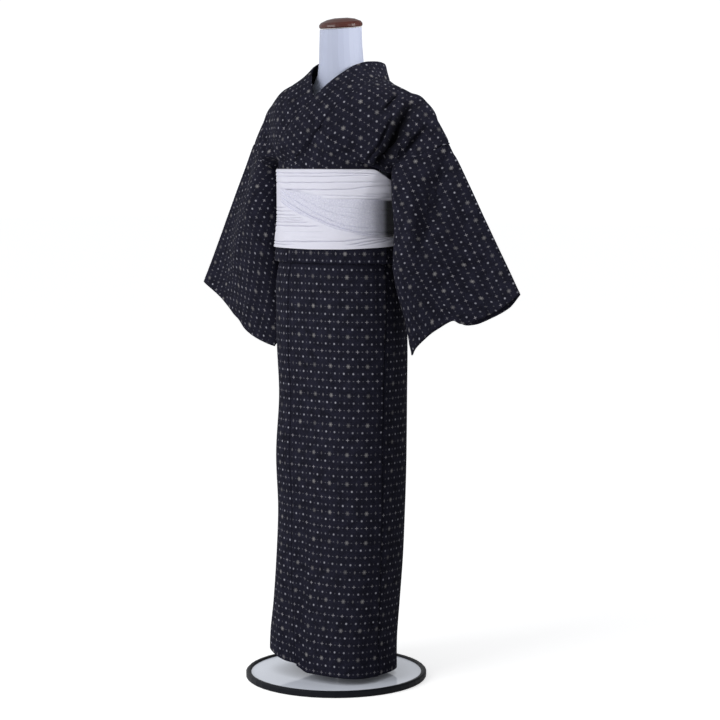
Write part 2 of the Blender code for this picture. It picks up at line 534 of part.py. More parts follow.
def thick_sheet(name, grid, wall, ring_rows=False, ring_columns=False):
    """A grid of points (rows, columns) made a wall of even thickness; a ring closes on itself."""
    rows, columns = grid.shape[:2]
    def difference(axis, ring):
        if ring:
            return np.roll(grid, -1, axis) - np.roll(grid, 1, axis)
        return np.gradient(grid, axis=axis)
    normal = np.cross(difference(0, ring_rows), difference(1, ring_columns))
    normal /= np.linalg.norm(normal, axis=-1, keepdims=True)
    points = np.concatenate([(grid + normal * wall / 2).reshape(-1, 3), (grid - normal * wall / 2).reshape(-1, 3)])
    n = rows * columns

    def at(i, j):
        return (i % rows) * columns + (j % columns)
    faces = []
    for i in range(rows if ring_rows else rows - 1):
        for j in range(columns if ring_columns else columns - 1):
            a, b, c, d = at(i, j), at(i + 1, j), at(i + 1, j + 1), at(i, j + 1)
            corners = [grid[i % rows, j % columns, :2], grid[(i + 1) % rows, j % columns, :2],
                       grid[(i + 1) % rows, (j + 1) % columns, :2], grid[i % rows, (j + 1) % columns, :2]]
            outer = np.dot(corners[0] + corners[2] - corners[1] - corners[3], sum(corners)) > 0
            # both layers share one diagonal, so the wall stays even; it is the one that stands further out
            for f in ((a, b, c), (a, c, d)) if outer else ((a, b, d), (b, c, d)):
                faces += [f, tuple(n + k for k in f[::-1])]
    if not ring_rows:
        for j in range(columns if ring_columns else columns - 1):
            a, b = at(0, j), at(0, j + 1)
            faces.append((a, b, n + b, n + a))
            a, b = at(rows - 1, j), at(rows - 1, j + 1)
            faces.append((b, a, n + a, n + b))
    if not ring_columns:
        for i in range(rows if ring_rows else rows - 1):
            a, b = at(i, 0), at(i + 1, 0)
            faces.append((b, a, n + a, n + b))
            a, b = at(i, columns - 1), at(i + 1, columns - 1)
            faces.append((a, b, n + b, n + a))
    if volume_of(points, faces) < 0:
        faces = [f[::-1] for f in faces]
    return add_mesh(name, points, faces)


def stack(name, rings, smooth_shade=True):
    """Closed solid through rings of points (levels, around), with a centre point in each end."""
    levels, around = rings.shape[:2]
    points = np.concatenate([rings.reshape(-1, 3), rings[0].mean(0)[None], rings[-1].mean(0)[None]])
    faces = []
    for i in range(levels - 1):
        for j in range(around):
            k = (j + 1) % around
            faces.append((i * around + j, i * around + k, (i + 1) * around + k, (i + 1) * around + j))
    low, high = levels * around, levels * around + 1
    for j in range(around):
        k = (j + 1) % around
        faces.append((low, k, j))
        faces.append((high, (levels - 1) * around + j, (levels - 1) * around + k))
    if volume_of(points, faces) < 0:
        faces = [f[::-1] for f in faces]
    return add_mesh(name, points, faces, smooth_shade)


def lathe(name, profile, around=40, tilt=0.0, centre=(0.0, 0.0)):
    """Solid of revolution through (radius, z) pairs; tilt leans it forward about its own level."""
    t = np.linspace(0, 2 * math.pi, around, endpoint=False)
    rings = []
    for radius, z in profile:
        x, y = radius * np.cos(t), radius * np.sin(t)
        rings.append(np.stack([centre[0] + x, centre[1] + y, z + y * tilt], -1))
    return stack(name, np.array(rings))


def ring_solid(name, section, around=48):
    """A closed section of (radius, z) pairs swept round the upright axis."""
    t = np.linspace(0, 2 * math.pi, around, endpoint=False)
    grid = np.array([[(r * math.cos(a), r * math.sin(a), z) for r, z in section] for a in t])
    rows, columns = grid.shape[:2]
    faces = [(i * columns + j, ((i + 1) % rows) * columns + j,
              ((i + 1) % rows) * columns + (j + 1) % columns, i * columns + (j + 1) % columns)
             for i in range(rows) for j in range(columns)]
    points = grid.reshape(-1, 3)
    if volume_of(points, faces) < 0:
        faces = [f[::-1] for f in faces]
    return add_mesh(name, points, faces)


def form_rings(around=24):
    t = np.linspace(0, 2 * math.pi, around, endpoint=False)
    rings = []
    for z, a, b, y in FORM:
        slant = CAP_TILT * smooth(z, 1.33, 1.404)
        px, py = a * np.cos(t), b * np.sin(t)
        rings.append(np.stack([px, y + py, z + py * slant], -1))
    return np.array(rings)


def build():
    for obj in list(bpy.data.objects):
        bpy.data.objects.remove(obj, do_unlink=True)

    made = []
    for side, word in ((1, "left"), (-1, "right")):
        made.append(thick_sheet("body_" + word, body_panel(side), CLOTH))
        made.append(thick_sheet("okumi_" + word, okumi(side), CLOTH))
        made.append(thick_sheet("sleeve_" + word, sleeve_sheet(side), CLOTH, ring_rows=True))
    made.append(thick_sheet("collar", collar(), DOUBLE))
    for obj in made:
        obj.data.materials.append(material("printed_cotton"))

    made = [thick_sheet("obi_wrap", belt_ring(), DOUBLE, ring_columns=True),
            thick_sheet("obi_fold", belt_fold(), CLOTH),
            thick_sheet("obi_knot", knot_ring(), DOUBLE, ring_rows=True)]
    for obj in made:
        obj.data.materials.append(material("belt_cloth"))

    stack("form_body", form_rings()).data.materials.append(material("form_cloth"))
    lathe("form_cap", [(0.0445, 1.4055), (0.0470, 1.4085), (0.0470, 1.4130), (0.0430, 1.4180), (0.0300, 1.4235), (0.0140, 1.4262)],
          around=32, tilt=CAP_TILT).data.materials.append(material("cap_wood"))
    lathe("stand_pole", [(0.045, -0.0055), (0.045, -0.0020), (0.020, 0.0010), (POLE_RADIUS, 0.0070), (POLE_RADIUS, 0.6395)],
          around=24).data.materials.append(material("pole_steel"))
    lathe("base_disc", [(DISC_RADIUS, 0.0), (DISC_RADIUS, GLASS)], around=48).data.materials.append(material("base_glass"))
    ring_solid("base_rim", [(RIM_INNER, 0.000), (0.1985, 0.000), (0.200, 0.002), (0.200, 0.011), (0.197, 0.014), (0.192, 0.014),
                            (RIM_INNER, 0.0115)], around=48).data.materials.append(material("rim_rubber"))


build()
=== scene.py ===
"""Looks of the cotton yukata robe on its limbless dress form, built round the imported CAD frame.

The cloth sheets follow the same tables as the solids, sampled finely, with seams, creases and the printed
lattice added. Metres; +Z up, the front faces -Y, the wearer's left is +X."""

import math

import bpy
import numpy as np
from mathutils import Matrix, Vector


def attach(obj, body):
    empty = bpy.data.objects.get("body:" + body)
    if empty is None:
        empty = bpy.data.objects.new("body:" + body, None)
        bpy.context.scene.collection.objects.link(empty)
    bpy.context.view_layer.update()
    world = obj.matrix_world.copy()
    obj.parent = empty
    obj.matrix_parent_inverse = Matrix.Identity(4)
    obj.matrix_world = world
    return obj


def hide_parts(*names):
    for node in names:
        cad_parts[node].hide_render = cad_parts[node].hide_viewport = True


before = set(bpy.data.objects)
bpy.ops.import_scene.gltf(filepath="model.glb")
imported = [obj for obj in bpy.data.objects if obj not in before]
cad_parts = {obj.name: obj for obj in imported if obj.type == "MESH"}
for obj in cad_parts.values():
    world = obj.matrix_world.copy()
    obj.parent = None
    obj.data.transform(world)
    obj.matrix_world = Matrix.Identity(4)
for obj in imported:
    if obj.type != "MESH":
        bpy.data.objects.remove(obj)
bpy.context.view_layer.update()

# ---------------------------------------------------------------- named sizes
SEAM_GAP = 0.0002         # clear space left between two sewn edges
ON_STAND = np.array((0.009, 0.007, 0.016))   # garment heights are measured from the top of the base

# Cross-section of the wrapped cloth, innermost layer, against height
WRAP_COLUMNS = ("z", "half_width", "half_depth", "squareness", "shift_x", "shift_y")
WRAP = np.array([
    (0.000, 0.1370, 0.1040, 2.9, -0.0135, -0.0125),
    (0.075, 0.1365, 0.1040, 2.9, -0.0125, -0.0120),
    (0.155, 0.1350, 0.1030, 2.9, -0.0075, -0.0075),
    (0.276, 0.1360, 0.1025, 2.9, -0.0020, -0.0015),
    (0.350, 0.1370, 0.1030, 2.8, 0.0000, 0.0000),
    (0.480, 0.1410, 0.1060, 2.8, -0.0005, 0.0000),
    (0.610, 0.1390, 0.1035, 2.7, 0.0030, 0.0020),
    (0.720, 0.1430, 0.1060, 2.6, 0.0015, 0.0005),
    (0.820, 0.1440, 0.1070, 2.5, 0.0000, 0.0000),
    (0.860, 0.1430, 0.1060, 2.5, -0.0010, 0.0000),
    (0.900, 0.1370, 0.1010, 2.4, -0.0020, 0.0000),
    (0.960, 0.1320, 0.0970, 2.3, -0.0020, 0.0000),
    (1.000, 0.1295, 0.0950, 2.3, -0.0010, 0.0000),
    (1.100, 0.1305, 0.0960, 2.3, -0.0010, 0.0000),
    (1.160, 0.1370, 0.1020, 2.3, 0.0000, 0.0000),
])

# Where the long seams run round the body, against height
SEAM_COLUMNS = ("z", "left_okumi_seam", "side_seam", "okumi_free_edge")
SEAMS = np.array([
    (0.010, -9.0, 83.0, -76.0),
    (0.125, -17.0, 81.0, -84.0),
    (0.230, -26.0, 78.0, -92.0),
    (0.430, -29.0, 76.0, -97.0),
    (0.670, -33.0, 76.0, -100.0),
    (0.900, -31.0, 81.0, -98.0),
    (1.100, -31.0, 80.0, -98.0),
])

HEM_Z = 0.012
CORD_Z = 0.962            # the hidden cord over which the waist tuck is folded
TUCK_Z = 0.903            # lower fold of the waist tuck
BODICE_Z = 1.000          # hidden behind the belt: the wrap becomes the bodice
# Distance of the three plies of the waist tuck outside the innermost layer
PLIES_LEFT = (0.0030, 0.0056, 0.0138)
PLIES_RIGHT = (0.0000, 0.0082, 0.0106)
PLIES_BACK = (0.0015, 0.0060, 0.0106)

SHOULDER_RIDGE = np.array([   # x, y, z of the fold on top of the left shoulder
    (0.094, 0.006, 1.299), (0.130, 0.012, 1.283), (0.172, 0.017, 1.264),
    (0.214, 0.021, 1.241), (0.268, 0.026, 1.158)])
CUFF_TOP = np.array((0.437, 0.042, 0.845))

SLEEVE_WIDTH = 0.36
SLEEVE_DROP = 0.34
ARMHOLE_GAP = 0.0003
ARMHOLE_ROWS, SLEEVE_ROWS = 9, 13   # rows of the grids down the armhole and down the sleeve
ROW_CROWDING = 1.6                  # rows crowd towards the fold on top of the arm
# Outer edge of each sleeve as it hangs, in the plane of the arms
CUFF_COLUMNS = ("along_edge", "left_x", "left_z", "right_x", "right_z")
CUFF_EDGE = np.array([
    (0.00, 0.437, 0.845, 0.437, 0.842),
    (0.05, 0.406, 0.820, 0.412, 0.828),
    (0.10, 0.368, 0.799, 0.378, 0.807),
    (0.15, 0.333, 0.784, 0.345, 0.786),
    (0.18, 0.312, 0.782, 0.325, 0.772),
    (0.20, 0.300, 0.790, 0.310, 0.765),
    (0.25, 0.262, 0.771, 0.283, 0.742),
    (0.30, 0.225, 0.740, 0.235, 0.721),
    (0.34, 0.190, 0.710, 0.196, 0.709),
])
FOLD_X = 0.208            # where the hanging sleeve turns back beside the body
FOLD_RADIUS = 0.030
FOLD_TURN = math.radians(97)
FORWARD = 0.080           # how far the sleeve stands forward of the shoulder there
# The left sleeve's fold swells forward again at hip height (height, further forward)
SWELL_Z = (0.700, 0.712, 0.731, 0.763, 0.799, 0.837, 0.865, 0.894, 0.932, 0.985, 1.050)
SWELL = (0.0, 0.0, 0.0069, 0.0120, 0.0189, 0.0292, 0.0315, 0.0309, 0.0172, 0.002, 0.0)


# -------------------------------------------------------------- small helpers
def smooth(x, a=0.0, b=1.0):
    x = np.clip((np.asarray(x, float) - a) / (b - a), 0.0, 1.0)
    return x * x * (3 - 2 * x)


def look_up(table, columns, name, x):
    """A column of the table at x, through a smooth curve."""
    x = np.clip(np.asarray(x, float), table[0, 0], table[-1, 0])
    return spline(table[:, 0], table[:, columns.index(name)], x)


def spline(knots, values, x):
    """Cubic through the values, with the slopes of its neighbours (no overshoot at the ends)."""
    knots, values, x = np.asarray(knots, float), np.asarray(values, float), np.asarray(x, float)
    slope = np.gradient(values, knots, axis=0)
    i = np.clip(np.searchsorted(knots, x, side="right") - 1, 0, len(knots) - 2)
    width = knots[i + 1] - knots[i]
    f = (x - knots[i]) / width
    shape = f.shape + (1,) * (values.ndim - 1)
    f, width = f.reshape(shape), width.reshape(shape)
    return ((2 * f**3 - 3 * f**2 + 1) * values[i] + (f**3 - 2 * f**2 + f) * width * slope[i]
            + (3 * f**2 - 2 * f**3) * values[i + 1] + (f**3 - f**2) * width * slope[i + 1])


# ------------------------------------------------------------ the wrapped part
def wrap(degrees, z, offset):
    """Point on the wrapped cross-section, moved out by offset along its normal."""
    degrees, z, offset = np.broadcast_arrays(*(np.asarray(v, float) for v in (degrees, z, offset)))
    a, b, n, cx, cy = (look_up(WRAP, WRAP_COLUMNS, c, z) for c in WRAP_COLUMNS[1:])
    s, c = np.sin(np.radians(degrees)), -np.cos(np.radians(degrees))
    r = (np.abs(s / a) ** n + np.abs(c / b) ** n) ** (-1 / n)
    x, y = r * s, r * c
    nx = np.sign(x) * np.abs(x / a) ** (n - 1) / a
    ny = np.sign(y) * np.abs(y / b) ** (n - 1) / b
    length = np.hypot(nx, ny)
    return np.stack([cx + x + offset * nx / length, cy + y + offset * ny / length, z + 0 * x], -1)


def plies(side, degrees):
    """The three offsets of a panel of this side at this angle."""
    front = np.array(PLIES_LEFT if side > 0 else PLIES_RIGHT)
    blend = smooth(np.abs(degrees), 106, 176)[..., None]
    return front * (1 - blend) + np.array(PLIES_BACK) * blend


def hem_rise(degrees):
    """How far the hem climbs towards the overlap's edge on the wearer's right; none behind."""
    rise = 0.017 * smooth(-degrees, -6, 14) + 0.010 * smooth(-degrees, 20, 55)
    return rise * (1 - smooth(-degrees, 105, 150))


def hem_z(degrees):
    """Height of the hem."""
    return HEM_Z - 0.004 * smooth(degrees, 20, 70) + 0.006 * smooth(-degrees, 20, 80) + hem_rise(degrees)


def tuck_path():
    """(kind, value) of each row from hem to bodice: skirt, turn, middle ply, turn, outer ply."""
    rows = [("skirt", v) for v in np.concatenate([[0, 0.004, 0.008], np.linspace(0.016, 0.97, 86)])]
    rows += [("cord", t) for t in np.linspace(0, 180, 9)]
    rows += [("middle", t) for t in (0.25, 0.5, 0.75)]
    rows += [("tuck", t) for t in np.linspace(0, 180, 13)]
    rows += [("outer", z) for z in np.linspace(0.9115, 0.955, 9)]
    return rows


def wrapped_row(kind, value, side, degrees_at, u):
    """Points of one row of a wrapped sheet; degrees_at(u, z) gives the angle of each column."""
    def place(z, pick):
        degrees = degrees_at(u, z)
        p = plies(side, degrees)
        return wrap(degrees, z, pick(p))
    if kind == "skirt":
        low = hem_z(degrees_at(u, HEM_Z))
        z = low + value * (CORD_Z - low)
        return place(z, lambda p: p[..., 0])
    if kind == "middle":
        z = np.full(u.shape, CORD_Z + (TUCK_Z - CORD_Z) * value)
        return place(z, lambda p: p[..., 1])
    if kind == "outer":
        return place(np.full(u.shape, value), lambda p: p[..., 2])
    inner, outer, base = (0, 1, CORD_Z) if kind == "cord" else (1, 2, TUCK_Z)
    degrees = degrees_at(u, base)
    p = plies(side, degrees)
    middle, radius = (p[..., inner] + p[..., outer]) / 2, (p[..., outer] - p[..., inner]) / 2
    turn = math.radians(value)
    up = 1 if kind == "cord" else -1
    lift = 0 if kind == "cord" else 0.004
    z = base + lift + up * radius * math.sin(turn)
    return wrap(degrees, z, middle - radius * math.cos(turn))


# ------------------------------------------------------------------ the sleeve
RIDGE_END = SHOULDER_RIDGE[-1]


def sleeve(side, across, drop, back):
    """Point of the sleeve's front or back cloth; across from the armhole seam, drop from the ridge.
    For the right sleeve the result is already mirrored."""
    across, drop = np.broadcast_arrays(np.asarray(across, float), np.asarray(drop, float))
    f = across / SLEEVE_WIDTH
    ridge = RIDGE_END + f[..., None] * (CUFF_TOP - RIDGE_END)
    name = "left" if side > 0 else "right"
    edge_x = look_up(CUFF_EDGE, CUFF_COLUMNS, name + "_x", drop) - CUFF_EDGE[0, 1]
    edge_z = look_up(CUFF_EDGE, CUFF_COLUMNS, name + "_z", drop) - CUFF_EDGE[0, 2]
    hang = smooth(f, 0.0, 1.25) * 0.95 + 0.05 * f
    q = ridge[..., 0] + (1 - hang) * -0.87 * drop + hang * edge_x
    z = ridge[..., 2] + (1 - hang) * -0.49 * drop + hang * edge_z
    # turn back beside the body, about an upright line
    d = np.clip(FOLD_X - q, 0, None)
    a = np.clip(d / FOLD_RADIUS, 0, FOLD_TURN)
    rest = np.clip(d - FOLD_RADIUS * FOLD_TURN, 0, None)
    x = np.where(d > 0, FOLD_X - FOLD_RADIUS * np.sin(a) - rest * math.cos(FOLD_TURN), q)
    y = ridge[..., 1] + FOLD_RADIUS * (1 - np.cos(a)) + rest * math.sin(FOLD_TURN)
    stand = smooth(drop, 0.0, 0.13) * smooth(0.40 - q, 0.0, 0.17)
    y = y - FORWARD * stand * (1 - 0.45 * smooth(1.05 - z, 0.0, 0.33))
    if side > 0:
        y = y - np.interp(z, SWELL_Z, SWELL) * smooth(drop, 0.0, 0.13) * smooth(0.28 - q, 0.0, 0.07)
    # open the bag: the two cloths stand apart by a rounded gap, and meet at the closed edges
    tau = np.clip(drop / SLEEVE_DROP, 0, 1)
    belly = 2.2 * np.sqrt(tau) * (1 - tau) ** 1.3
    gap = 0.0013 * smooth(tau, 0, 0.02) + (0.019 - 0.010 * f) * belly
    n = np.stack([-np.sin(a), -np.cos(a)], -1)
    sign = -1 if back else 1
    x = x + sign * gap * n[..., 0]
    y = y + sign * gap * n[..., 1]
    if back:      # the back cloth hangs a little lower at the cuff
        z = z - 0.006 * smooth(f, 0.5, 1.0) * smooth(tau, 0, 0.15) * smooth(1 - tau, 0.35, 0.6)
    return np.stack([side * x, y, z], -1)


# -------------------------------------------------- angles of the panel columns
GAP_DEGREES = math.degrees(SEAM_GAP / 2 / 0.14)


def seam_degrees(name, z):
    return look_up(SEAMS, SEAM_COLUMNS, name, z)


def front_degrees(u, z):
    """Left front panel: okumi seam to side seam. The right panel mirrors the angle."""
    a, b = seam_degrees("left_okumi_seam", z) + GAP_DEGREES, seam_degrees("side_seam", z) - GAP_DEGREES
    return a + (b - a) * np.asarray(u, float)


def back_degrees(u, z):
    """Left back: centre back seam to side seam."""
    a, b = 180 - GAP_DEGREES, seam_degrees("side_seam", z) + GAP_DEGREES
    return a + (b - a) * np.asarray(u, float)


def okumi_degrees(u, z, outer_ply=False):
    """Left okumi: its seam to its free edge, which gives way to the collar behind the belt."""
    a, b = seam_degrees("left_okumi_seam", z) - GAP_DEGREES, seam_degrees("okumi_free_edge", z)
    if outer_ply:
        b = np.interp(z, (0.925, 1.000), (-97.0, -58.0)) + GAP_DEGREES
    return a + (b - a) * np.asarray(u, float)


# ------------------------------------------------------------------ the bodice
LINES = (0.0, 0.25, 0.5, 0.75, 0.93, 1.0)      # lines across the panel, inner edge to armhole
BELT_STEP, FREE_STEP = 0.22, 0.42        # where a line leaves the belt, and where the armhole starts
ARMHOLE_SHARE = 0.58                     # the steps from there up to the ridge
STEPS = (0.0, BELT_STEP, FREE_STEP, FREE_STEP + ARMHOLE_SHARE / 3, FREE_STEP + 2 * ARMHOLE_SHARE / 3, 1.0)
ROWS = (0.0, 0.11, BELT_STEP, 0.286, 0.352) + tuple(FREE_STEP + ARMHOLE_SHARE
        * i / ARMHOLE_ROWS for i in range(ARMHOLE_ROWS + 1))
BELT_EXIT_Z = 1.118
FRONT_BELT_DEGREES = (-10.0, 18.0, 42.0, 59.0, 69.8, 74.0)     # where each line leaves the top of the belt
FRONT_BODICE = np.array([                                # the next three steps up each line
    [(0.036, -0.1200, 1.190), (0.075, -0.100, 1.243), (0.098, -0.055, 1.279)],
    [(0.076, -0.1185, 1.165), (0.112, -0.094, 1.222), (0.130, -0.050, 1.266)],
    [(0.122, -0.0870, 1.145), (0.150, -0.065, 1.187), (0.169, -0.036, 1.236)],
    [(0.170, -0.0680, 1.122), (0.192, -0.052, 1.155), (0.200, -0.022, 1.208)],
])
BACK_BELT_DEGREES = (180.0, 150.0, 130.0, 117.0, 109.1, 106.0)
BACK_BODICE = np.array([
    [(0.000, 0.1160, 1.200), (0.000, 0.1120, 1.280), (0.070, 0.083, 1.291)],
    [(0.074, 0.1130, 1.170), (0.086, 0.1050, 1.235), (0.113, 0.066, 1.270)],
    [(0.134, 0.0950, 1.150), (0.152, 0.0830, 1.195), (0.168, 0.056, 1.242)],
    [(0.184, 0.0760, 1.135), (0.206, 0.0700, 1.170), (0.217, 0.052, 1.212)],
])
UNDER = np.array([0, 0.0, 0.0075, 0.0060, 0.0024, 0])    # how far the right front lies under the left
UNDER_FADE = np.array([1, 1, 0.7, 0.3, 0, 0])
BESIDE = 0.014                       # the last line but one runs on along the sleeve's own cloth
UNDERARM_LIFT = 0.006                # the free edge under the arm bulges out over the belt
UNDERARM_DROOP = 0.018               # and on the left front the cloth sags over the belt's upper edge


def armhole(step, back, away=ARMHOLE_GAP):
    """The left armhole seam as the sleeve has it, moved off the sleeve by the seam gap."""
    drop = SLEEVE_DROP * (np.clip((1 - np.asarray(step, float)) / ARMHOLE_SHARE, 0, 1)
            * ARMHOLE_ROWS / SLEEVE_ROWS) ** ROW_CROWDING
    here, ahead = sleeve(1, 0.0, drop, back), sleeve(1, 0.004, drop, back)
    d = here - ahead
    return here + away * d / np.linalg.norm(d, axis=-1, keepdims=True)


def behind_belt(side, u, step, back):
    """Points of the bodice between its start and the top of the belt, on the wrapped form."""
    angle = back_degrees if back else front_degrees
    belt = BACK_BELT_DEGREES if back else FRONT_BELT_DEGREES
    f = np.asarray(step, float)[:, None] / BELT_STEP
    degrees = side * (angle(u, BODICE_Z) * (1 - f) + np.interp(u, LINES, belt) * f)
    z = BODICE_Z + (BELT_EXIT_Z - BODICE_Z) * f + 0 * degrees
    return wrap(degrees, z, plies(side, degrees)[..., 2]) * (side, 1, 1)


def bodice_grid(side, back):
    grid = np.zeros((6, 6, 3))
    grid[:, :2] = np.moveaxis(behind_belt(side, np.array(LINES), np.array((0.0, BELT_STEP)), back), 0, 1)
    grid[:4, 2:5] = BACK_BODICE if back else FRONT_BODICE
    grid[:4, 5] = SHOULDER_RIDGE[:4]
    grid[4, 2:] = armhole(STEPS[2:], back, BESIDE)
    grid[5, 2:] = armhole(STEPS[2:], back)
    if side < 0 and not back:
        grid[..., 1] += UNDER[None, :] * UNDER_FADE[:, None]
    return grid


def bodice(side, u, step, back):
    """Points (step, u) of the body panel above the belt; u from the inner edge, step up to the ridge."""
    u, step = np.atleast_1d(np.asarray(u, float)), np.atleast_1d(np.asarray(step, float))
    across = spline(LINES, bodice_grid(side, back), u)
    rows = spline(STEPS, np.moveaxis(across, 1, 0), step)
    free = np.clip((step - BELT_STEP) / (FREE_STEP - BELT_STEP), 0, 1)[:, None, None]
    if side > 0 and not back:
        share = np.sin(np.pi * np.minimum(free / 0.8, 1)) * (smooth(u, 0.5, 0.82) - 0.7 * smooth(u, 0.85,
                1.0))[:, None]
        rows = rows + share * (0.005, -0.002, -UNDERARM_DROOP)
    else:
        rows = rows + np.sin(np.pi * free) * smooth(u, 0.6, 1.0)[:, None] * (UNDERARM_LIFT, 0, UNDERARM_LIFT)
    low = step <= BELT_STEP
    rows[low] = behind_belt(side, u, step[low], back)
    seam = armhole(step, back)
    rows = np.where((u == 1)[None, :, None] & (step >= FREE_STEP)[:, None, None], seam[:, None], rows)
    if back:
        rows[..., 0] = np.maximum(rows[..., 0], SEAM_GAP / 2)
    return rows * (side, 1, 1)


# ------------------------------------------------------------------ the collar
# Free edge of the collar's left half, nape to belt; its other edge follows the seam of the body panel
COLLAR_BACK = np.array([          # body rows 3 to 8 above the belt, from the nape forward
    (0.0000, 0.1100, 1.3200), (0.0240, 0.1085, 1.3220), (0.0470, 0.0975, 1.3265),
    (0.0600, 0.0780, 1.3300), (0.0650, 0.0530, 1.3330), (0.0650, 0.0280, 1.3330)])
COLLAR_FRONT = np.array([         # rows 9 to 0, from the ridge down to the top of the overlap strip
    (0.0620, 0.0040, 1.3310), (0.0550, -0.0240, 1.3230), (0.0450, -0.0460, 1.3100), (0.0330, -0.0635, 1.2960),
    (0.0220, -0.0770, 1.2820), (0.0110, -0.0870, 1.2680), (-0.0010, -0.0970, 1.2530),
        (-0.0140, -0.1050, 1.2370),
    (-0.0265, -0.1130, 1.2215), (-0.0400, -0.1195, 1.2050)])
COLLAR_LOW_SEAM = np.array([(-0.002, -0.1220, 1.152), (-0.020, -0.1175, 1.135)])
COLLAR_LOW_EDGE = np.array([(-0.073, -0.1175, 1.165), (-0.0998, -0.1052, 1.142)])
COLLAR_LOW_UNDER = np.array([0.0088, 0.0102])
COLLAR_BELLY = (0.0,) * 9 + (0.0005, 0.001, 0.0015, 0.002, 0.003, 0.004, 0.005, 0.006,
        0.005)   # outward, at mid width
COLLAR_TAIL = np.array([(BELT_EXIT_Z, -24.0, -55.0), (1.094, -29.7, -60.0), (1.075, -35.3, -65.0),
                        (1.056, -41.0, -70.0), (1.038, -46.7, -74.0), (1.020, -52.3, -78.0),
                                (1.002, -58.0, -82.0)])


def collar_half(side):
    """(seam edge, free edge) rows of half the collar, nape to tail, before the seam gap."""
    back_rows, front_rows = np.array(ROWS[8:14]), np.array(ROWS[14:4:-1])
    seam = np.concatenate([bodice(side, 0.0, back_rows, True)[:, 0], bodice(side, 0.0, front_rows, False)[:, 0],
                           COLLAR_LOW_SEAM * (side, 1, 1)])
    edge = np.concatenate([COLLAR_BACK, COLLAR_FRONT, COLLAR_LOW_EDGE]) * (side, 1, 1)
    if side < 0:
        edge[len(COLLAR_BACK):-2, 1] += np.interp(front_rows, STEPS, UNDER)
        seam[-2:, 1] += COLLAR_LOW_UNDER
        edge[-2:, 1] += COLLAR_LOW_UNDER
    offset = PLIES_LEFT[2] if side > 0 else PLIES_RIGHT[2]
    z, a, b = COLLAR_TAIL.T
    return np.concatenate([seam, wrap(side * a, z, offset)]), np.concatenate([edge, wrap(side * b, z, offset)])


# -------------------------------------------------------------------- the belt
BELT_ROWS, BELT_OFFSET = (0.9345, 0.965, 1.000, 1.102), 0.0174


# The belt's folded-over layer, from its start on the wearer's right round to the left side
FOLD_COLUMNS = ("degrees", "low_z", "high_z")
BELT_FOLD = np.array([
    (-49.0, 1.0340, 1.0620), (-32.0, 1.0200, 1.0590), (-17.5, 1.0096, 1.0560), (10.5, 0.9928, 1.0490),
    (36.5, 0.9752, 1.0440), (52.5, 0.9664, 1.0410), (62.5, 0.9616, 1.0400), (86.5, 0.9608, 1.0400),
    (110.0, 0.9620, 1.0400), (149.0, 0.9680, 1.0400)])
FOLD_OFFSET = 0.0206
# The flat knot at the back: a loop of belt lying on the belt, behind the centre seam
KNOT = {"half_width": 0.075, "low": 0.958, "high": 1.078, "inner": 0.0206, "outer": 0.0320}


def knot_ring(columns=9, flat=3, turn=4):
    """The loop's section, inner face up and outer face down, with round turns, against the belt at the back."""
    radius = (KNOT["outer"] - KNOT["inner"]) / 2
    middle = KNOT["inner"] + radius
    low, high = KNOT["low"] + radius, KNOT["high"] - radius
    section = [(KNOT["inner"], low + (high - low) * t) for t in np.linspace(0, 1, flat + 1)]
    section += [(middle - radius * math.cos(a), high + radius * math.sin(a)) for a in np.linspace(0, math.pi,
            turn + 1)[1:-1]]
    section += [(KNOT["outer"], high + (low - high) * t) for t in np.linspace(0, 1, flat + 1)]
    section += [(middle + radius * math.cos(a), low - radius * math.sin(a)) for a in np.linspace(0, math.pi,
            turn + 1)[1:-1]]
    half = math.degrees(KNOT["half_width"] / 0.155)
    degrees = 180 + np.linspace(-half, half, columns)
    return np.array([wrap(degrees, z, offset) for offset, z in section])


# ---------------------------------------------------------- fine cloth sheets
WEFT, WARP = 0.0206, 0.01577          # the printed lattice: spacing across and along the cloth
LEVEL = (1, 1, 0)             # keeps the part of a vector that lies level
EDGE_COLUMNS = (0.003, 0.007, 0.012, 0.018)   # extra columns beside each sewn edge, as shares of the width


def columns_of(count, left=True, right=True):
    u = list(np.linspace(0, 1, count))
    u += [e for e in EDGE_COLUMNS if left] + [1 - e for e in EDGE_COLUMNS if right]
    return np.array(sorted(u))


def arc(grid, axis):
    """Length along the grid lines of this axis, from their first point."""
    step = np.linalg.norm(np.diff(grid, axis=axis), axis=-1)
    zero = np.zeros_like(np.take(step, [0], axis=axis))
    return np.concatenate([zero, np.cumsum(step, axis=axis)], axis=axis)


def refine(grid, rows, columns):
    """A smooth surface through a coarse grid, with this many steps for each of its own."""
    i = np.linspace(0, grid.shape[0] - 1, (grid.shape[0] - 1) * rows + 1)
    j = np.linspace(0, grid.shape[1] - 1, (grid.shape[1] - 1) * columns + 1)
    tall = spline(np.arange(grid.shape[0]), grid, i)
    return np.moveaxis(spline(np.arange(grid.shape[1]), np.moveaxis(tall, 1, 0), j), 1, 0)


def normals(grid, ring=False):
    rows = np.roll(grid, -1, 0) - np.roll(grid, 1, 0) if ring else np.gradient(grid, axis=0)
    n = np.cross(rows, np.gradient(grid, axis=1))
    return n / np.maximum(np.linalg.norm(n, axis=-1, keepdims=True), 1e-12)


def facing_out(normal, away):
    """The normals, all turned over where on the whole they point against away."""
    return -normal if np.einsum("ijk,ijk->", normal, away) < 0 else normal


def run_length(path):
    """Length along a line of points, from its first."""
    return np.concatenate([[0], np.cumsum(np.linalg.norm(np.diff(path, axis=0), axis=1))])


def nearest_place(grid, point):
    """Row and column of the grid's point nearest to this one."""
    return np.unravel_index(np.argmin(np.linalg.norm(grid - point, axis=-1)), grid.shape[:2])


def seam_dip(distance, depth=0.0010, width=0.0026):
    return -depth * np.exp(-(distance / width) ** 2)


